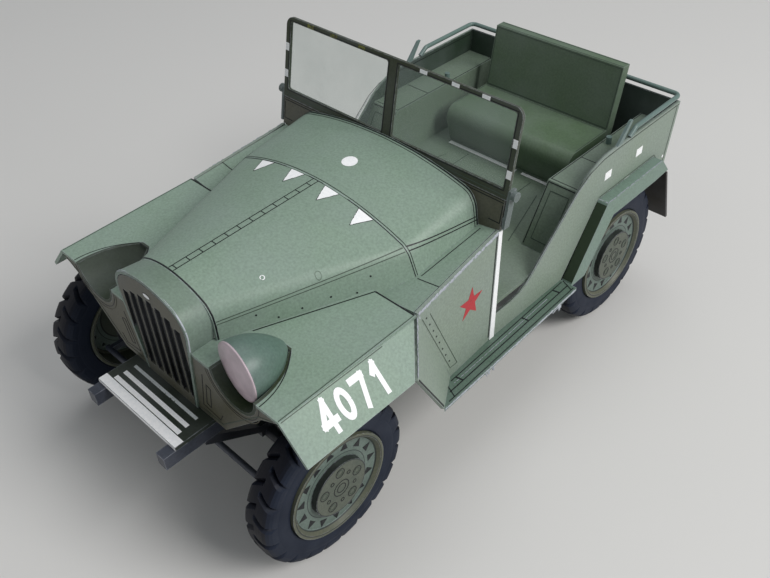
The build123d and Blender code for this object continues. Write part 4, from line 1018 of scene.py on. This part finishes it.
class SCOUT_OT_screen(ScoutOperator, bpy.types.Operator):
    """Print the windscreen frame and dash"""

    bl_idname = "scout.screen"
    bl_label = "Print the windscreen"

    def execute(self, context):
        marks = [line(loop(1.0, 53.0, 27.85, 66.85), share=0.9, step=1.0, side=side) for side in (-1, 1)]
        marks.append(line([(-28.5, 52.2), (28.5, 52.2)], "faint"))
        marks += [area("white", x - 0.85, 66.74, x + 0.85, 67.4) for x in (7.2, 14.5, 21.1)]
        marks += [area("yellow", x - 0.9, 66.7, x + 0.9, 67.42) for x in (-21.9, -15.5, -8.1)]
        for side, levels in ((1, (61.5, 56.0)), (-1, (61.6, 56.3))):
            marks += [area("white", 27.78 * side, z - 0.75, 28.8 * side, z + 0.75) for z in levels]
        lay("screen_print", marks, screen_place)

        marks = [line([(-28.4, 50.85), (28.4, 50.85)]), line([(-28.4, 51.3), (28.4, 51.3)], share=0.8)]
        marks += [line([(25.9, 47.0), (28.3, 47.0), (28.3, 50.4)], side=side) for side in (-1, 1)]
        lay("dash_print", marks, screen_place)

        marks = []
        for x in (-14.0, -6.0, 6.0):
            marks += [("black", ring((x, 47.2), 1.9, 0.16)), ("faint", ring((x, 47.2), 1.4, 0.1))]
        marks.append(line(loop(-24, 44.2, 24, 50.0), "faint", size=0.15))
        lay("dash_back_print", marks, screen_back_place, outward=(0, 1, 0))
        return {"FINISHED"}


def door_edge_band(side, name):
    """Narrow white strip down the cowl side's rear edge: two sheets of one sheared grid, closed round the rim."""
    low, high = SILL + 0.05, 45.55
    rows, columns = 31, 4
    flat, quads = patch((-0.95, low), (0.42, low), (1.05, high + 0.05), (0.05, high), columns - 1, rows - 1)
    sheets = []
    for lift in (0.2, 0.05):
        sheet = cowl_side(flat, lift)
        sheet[:, 0] = TUB_HALF + lift
        sheets.append(sheet)
    numbers = np.arange(rows * columns).reshape(rows, columns)
    rim = np.concatenate([numbers[0], numbers[1:, -1], numbers[-1, -2::-1], numbers[-2:0:-1, 0]])
    count = len(flat)
    around = np.column_stack([rim, rim + count, np.roll(rim, -1) + count, np.roll(rim, -1)])
    faces = np.concatenate([quads, quads[:, ::-1] + count, around])
    spots = np.concatenate(sheets) * (side, 1, 1)
    outward_shell(make_piece("door_edge_band_" + name, spots, faces, [INKS["white"]], BODY))


class SCOUT_OT_sides(ScoutOperator, bpy.types.Operator):
    """Print the cowl sides, splash panels and running boards"""

    bl_idname = "scout.sides"
    bl_label = "Print the sides"

    def execute(self, context):
        bolts = (
            (-20.2, 40.1), (-19.3, 38.0), (-18.3, 35.8), (-17.45, 33.8),
            (-16.6, 31.7), (-15.65, 29.4), (-14.7, 27.1), (-13.6, 24.7),
        )
        cowl_marks = [
            ("red", star((-7.55, 34.4), 3.55, 1.42, -0.1)),
            line([(-21.3, 40.6), (-13.3, 22.6)], "faint", 0.75),
            line([(-19.2, 40.4), (-11.2, 22.4)], "faint", 0.75),
            line([(-13.3, 22.6), (-11.2, 22.4)], "faint", 0.75),
            line([(-0.25, 45.3), (-1.2, 21.0)], share=1.4),
            ("fibre", ragged([(-22.3, 42.36), (0.1, 45.21)], 0.62, 11)),
            ("pale", ragged([(-22.3, 42.56), (0.2, 45.42)], 0.6, 12)),
            ("pale", ragged([(-22.1, 41.9), (-21.9, 41.2)], 0.22, 13)),
        ]
        cowl_marks += [("black", disc(bolt, 0.19, 1, 10)) for bolt in bolts]
        # where the wing flap's lower edge meets the splash panel
        tip_x, _, tip_z = splash(np.array([FLAP_EDGE]), 0.0)[0]
        splash_marks = [
            ("fibre", ragged([(30.35, 42.4), (tip_x - 0.3, tip_z + 0.1)], 0.5, 21)),
            line([(tip_x - 0.18, tip_z - 0.4), (BOARD_CORNER[0] - 0.18, SILL + 0.5)], size=0.22),
        ]
        board_lines = []
        for inset, size in ((0.45, 0.16), (1.75, 0.2), (3.3, 0.16)):
            low = -18.6 + inset * 1.4
            board_lines.append(line([(board_edge(low) - inset, low), (board_edge(22.5) - inset, 22.3)], size=size))
        for y, end, inset, size in (
            (-12.6, -12.3, 1.75, 0.3), (8.2, 8.5, 1.75, 0.3), (19.0, 19.3, 1.75, 0.3),
            (-16.4, -15.2, 0.45, 0.16), (21.6, 22.8, 0.45, 0.16),
        ):
            near, far = board_edge(y) - 3.3, board_edge(y) - inset
            board_lines.append(line([(near, end), (far, y)] if inset < 1 else [(near, y), (far, end)], size=size))
        board_lines.append(
            ("fibre", ragged([(board_edge(-16) - 2.6, -14.0), (board_edge(16) - 2.6, 16.0)], 0.12, 31))
        )
        edge = plane_through((*BOARD_CORNER[:2], 20), (*BOARD_REAR, 20), (*BOARD_CORNER[:2], 19), 0, (1, 0, 0))
        edge_marks = [("pale", ragged([(-19.6, 19.85), (22.7, 19.85)], 0.42, 41))]
        deck_marks = [line([(24.3, -16.1), (29.4, -15.9)]), line([(24.45, -15.3), (25.15, -0.6)])]
        lay_both("cowl_side_print_", cowl_marks, cowl_side)
        lay_both("splash_print_", splash_marks, splash)
        lay_both("running_board_print_", board_lines, level_place(SILL))
        lay_both("running_board_edge_", edge_marks, edge)
        lay_both("deck_print_", deck_marks, deck)
        for side, name in SIDES:
            door_edge_band(side, name)
        return {"FINISHED"}


class SCOUT_OT_tub(ScoutOperator, bpy.types.Operator):
    """Print the tub, wheel boxes, rear wings, floor and bench"""

    bl_idname = "scout.tub"
    bl_label = "Print the tub"

    def execute(self, context):
        door = [
            (0.1, 26.1), (5.0, 26.1), (7.9, 26.6), (10.2, 27.9), (22.0, 38.6), (25.5, 41.5), (29.0, 43.2),
            (33.5, 44.25), (38.0, 44.4), (61.8, 44.4),
        ]
        marks = [line(door), line([(61.2, 44.2), (59.2, 30.0)])]
        marks += [area("white", y - 1.15, 38.6, y + 1.15, 40.4) for y in (35.9, 47.5)]
        marks.append(("fibre", ragged([(10.0, 27.2), (21.8, 37.9), (25.3, 40.9), (29.0, 42.7)], 0.14, 51)))
        marks.append(line([(33.5, 35.2), (54.7, 35.2), (58.0, 31.3)], "faint"))
        marks.append(("white", disc((58.9, 32.9), 0.34, 1, 14)))
        lay_both("tub_side_print_", marks, side_place(TUB_HALF))
        inner = side_place(TUB_HALF - CARD, -1)
        lay_both("tub_inside_print_", [line([(34.0, 44.1), (60.8, 44.1)])], inner, outward=(-1, 0, 0))

        paths = [(21.1, 27.0), (21.1, 60.8)], [(21.0, 27.1), (27.6, 27.1)], [(21.0, 37.5), (27.6, 37.5)]
        lay_both("wheel_box_print_", [line(path) for path in paths], level_place(BOX_TOP))
        front = hinged_place((18.85, FLOOR_TOP), (26.45, BOX_TOP))
        marks = [line([(21.1, 28.3), (21.1, 39.5), (27.6, 39.5)]), line(loop(22.3, 29.6, 26.6, 38.2), "faint")]
        lay_both("wheel_box_front_print_", marks, front, outward=(0, -1, 0.4))

        front = hinged_place((22.95, 19.4), (33.35, REAR_WING_TOP))
        # Outer part of each rear wing's forward face, painted dark olive: painted shade.
        marks = [area("moss", 28.68, 20.2, 30.95, 34.4)]
        lay_both("rear_wing_front_print_", marks, front, outward=(0, -1, 0.4))
        for side, name in SIDES:
            paths = (([(28.8, 33.6), (30.8, 33.6)], 0.3, 61), ([(30.85, 33.9), (30.85, 54.2)], 0.16, 62))
            marks = [("fibre", ragged(np.array(path) * (side, 1), *look)) for path, *look in paths]
            lay("rear_wing_top_print_" + name, marks, level_place(REAR_WING_TOP))

        rear = hinged_place((62.35, 44.9), (59.86, 27.1), 1)
        marks = [line(loop(-27.3, 28.2, 27.3, 44.1), step=1.0), line([(0, 28.2), (0, 44.1)], "faint", step=1.0)]
        marks += [area("white", x - 1.3, 38.4, x + 1.3, 40.2) for x in (-20.0, 20.0)]
        lay("tub_rear_print", marks, rear, outward=(0, 1, 0))

        marks = [line([(18.2, 18.0), (13.0, 34.8)], "faint", side=side) for side in (1, -1)]
        marks += [line([(x, 4.0), (x, 38.0)], "faint") for x in (-9.0, 9.0)]
        marks += [line(loop(x - 5, 3.0, x + 5, 14.0), "faint") for x in (-14.0, 14.0)]
        marks.append(area("white", -16.0, 39.0, 3.6, 40.1, 20, 2))
        marks.append(area("white", 5.2, 39.2, 16.2, 40.1, 12, 2))
        lay("floor_print", marks, level_place(FLOOR_TOP))

        back = hinged_place((51.95, FLOOR_TOP), (57.15, BACK_TOP))
        marks = [
            line([(-16.7, 37.4), (-16.7, 50.45), (16.7, 50.45), (16.7, 37.4)], "faint", 0.8, step=1.0),
            line([(-16.6, 37.35), (16.6, 37.35)], "faint", size=0.2),
        ]
        lay("bench_back_print", marks, back, outward=(0, -1, 0.2))
        marks = [line([(-16.7, y), (16.7, y)], "faint") for y in (57.5, 59.2)]
        lay("bench_top_print", marks, level_place(BACK_TOP))
        marks = [line([(-16.7, 42.5), (-16.7, 53.6), (16.7, 53.6), (16.7, 42.5)], "faint", step=1.0)]
        lay("bench_seat_print", marks, level_place(BENCH_TOP))
        return {"FINISHED"}


def torn_edge(start, random, samples=19):
    """Torn paper under a running board: a strip whose lower edge drops by seeded random depths.

    The depth is scaled by the root of a half sine along the strip, and each lower corner leans sideways at random.
    """
    y = start + np.linspace(0, 4.4, samples)
    x = board_edge(y) - 0.35
    drop = random.uniform(0.3, 2.1, samples) * np.sin(np.linspace(0, np.pi, samples)) ** 0.5
    lean = random.uniform(-0.25, 0.25, samples)
    level = 19.38
    return np.concatenate([
        np.column_stack([x, y, np.full(samples, level)]), np.column_stack([x + lean, y, level - drop])
    ])


class SCOUT_OT_scraps(ScoutOperator, bpy.types.Operator):
    """Make the torn paper bits under the running boards"""

    bl_idname = "scout.scraps"
    bl_label = "Make the torn edges"

    def execute(self, context):
        random = np.random.default_rng(77)
        for side, name in SIDES:
            edges = [torn_edge(start, random) for start in (-8.4, 14.2)]
            quads = grid_quads(2, len(edges[0]) // 2)
            faces = np.concatenate([quads, quads + len(edges[0])])
            spots = np.concatenate(edges) * (side, 1, 1)
            piece = make_piece("torn_paper_" + name, spots, faces, [INKS["pale"]], BODY)
            thicken(piece, "Leaf", 0.12 * MM, 0.0)
        return {"FINISHED"}


def floor(scene):
    """Flat square in metres, and a material whose own colour is the pale background."""
    flat, quads = patch((-1.5, -1.5), (1.5, -1.5), (1.5, 1.5), (-1.5, 1.5), 8, 8)
    mesh = bpy.data.meshes.new("floor_sheet")
    mesh.from_pydata(np.column_stack([flat, np.zeros(len(flat))]).tolist(), [], quads.tolist())
    pale = Shading("pale_floor")
    tone = pale.blend(pale.noise(6.0), (0.67, 0.66, 0.64), (0.7, 0.69, 0.67))
    mesh.materials.append(pale.finish(tone, pale.ramp(pale.noise(30.0), 0, 1, 0.5, 0.6), specular=0.3))
    sheet = bpy.data.objects.new("floor_sheet", mesh)
    scene.collection.objects.link(sheet)


def world(scene):
    """Even soft light, and the same pale tone where the camera looks past the floor."""
    scene.world = bpy.data.worlds.new("studio")
    scene.world.use_nodes = True
    tree = scene.world.node_tree
    tree.nodes.clear()
    soft = put(tree, "ShaderNodeBackground", {"Color": (0.9, 0.95, 1.0, 1), "Strength": 0.27}).outputs[0]
    seen = put(tree, "ShaderNodeBackground", {"Color": (0.72, 0.7, 0.67, 1), "Strength": 1.0}).outputs[0]
    camera_ray = put(tree, "ShaderNodeLightPath").outputs["Is Camera Ray"]
    mixed = put(tree, "ShaderNodeMixShader", {0: camera_ray, 1: soft, 2: seen})
    put(tree, "ShaderNodeOutputWorld", {"Surface": mixed.outputs[0]})


def camera(scene):
    """Camera at its measured place: turned by azimuth, elevation and roll about its own axis."""
    azimuth, elevation, roll = np.radians((45.7, 40.983, -2.741))
    flat = np.cos(elevation)
    back = Vector((np.sin(azimuth) * flat, -np.cos(azimuth) * flat, np.sin(elevation)))
    level = Vector((0, 0, 1)).cross(back).normalized()
    upright = back.cross(level)
    right = level * np.cos(roll) + upright * np.sin(roll)
    up = upright * np.cos(roll) - level * np.sin(roll)
    lens = bpy.data.cameras.new("camera")
    lens.sensor_width, lens.lens, lens.clip_start = 36.0, 39.93, 0.005
    scene.camera = bpy.data.objects.new("camera", lens)
    axes = Matrix((right, up, back)).transposed().to_4x4()
    scene.camera.matrix_world = Matrix.Translation(Vector(SHIFT + (98.89, -96.68, 136.17)) * MM) @ axes
    scene.collection.objects.link(scene.camera)


class SCOUT_OT_stage(ScoutOperator, bpy.types.Operator):
    """Set the floor, lamps and camera"""

    bl_idname = "scout.stage"
    bl_label = "Set the stage"

    def execute(self, context):
        scene = context.scene
        floor(scene)
        world(scene)
        aim = Vector((0, 0, 0.03))
        for name, spot, size, power, tint in (
            ("key", (0.52, 0.14, 0.5), 0.34, 3.7, (1.0, 0.99, 0.98)),
            ("top", (-0.1, 0.22, 0.85), 0.6, 1.5, (0.97, 0.985, 1.0)),
            ("fill", (-0.55, -0.5, 0.35), 0.5, 0.5, (1.0, 0.98, 0.96)),
        ):
            lamp = bpy.data.lights.new(name, "AREA")
            lamp.size, lamp.energy, lamp.color = size, power, tint
            holder = bpy.data.objects.new(name, lamp)
            holder.location = spot
            holder.rotation_euler = (aim - Vector(spot)).to_track_quat("-Z", "Y").to_euler()
            scene.collection.objects.link(holder)
        camera(scene)
        scene.view_settings.view_transform = "Standard"
        return {"FINISHED"}


OPERATORS = (
    SCOUT_OT_paint, SCOUT_OT_tyres, SCOUT_OT_wheels, SCOUT_OT_bonnet, SCOUT_OT_wings, SCOUT_OT_front,
    SCOUT_OT_lamp, SCOUT_OT_screen, SCOUT_OT_sides, SCOUT_OT_tub, SCOUT_OT_scraps, SCOUT_OT_stage,
)


class SCOUT_PT_panel(bpy.types.Panel):
    """Sizes, colours and steps of the card scout car"""

    bl_idname = "SCOUT_PT_panel"
    bl_label = "Card Scout Car"
    bl_space_type = "VIEW_3D"
    bl_region_type = "UI"
    bl_category = "Scout Car"

    def draw(self, context):
        column = self.layout.column()
        for name in ScoutCarSettings.__annotations__:
            column.prop(context.scene.scout_car, name)
        for operator in OPERATORS:
            column.operator(operator.bl_idname)


CLASSES = (ScoutCarSettings, *OPERATORS, SCOUT_PT_panel)


def register():
    for cls in CLASSES:
        bpy.utils.register_class(cls)
    bpy.types.Scene.scout_car = bpy.props.PointerProperty(type=ScoutCarSettings)


def unregister():
    del bpy.types.Scene.scout_car
    for cls in reversed(CLASSES):
        bpy.utils.unregister_class(cls)


def main():
    register()
    for operator in OPERATORS:
        group, name = operator.bl_idname.split(".")
        getattr(getattr(bpy.ops, group), name)()


if __name__ == "__main__":
    main()
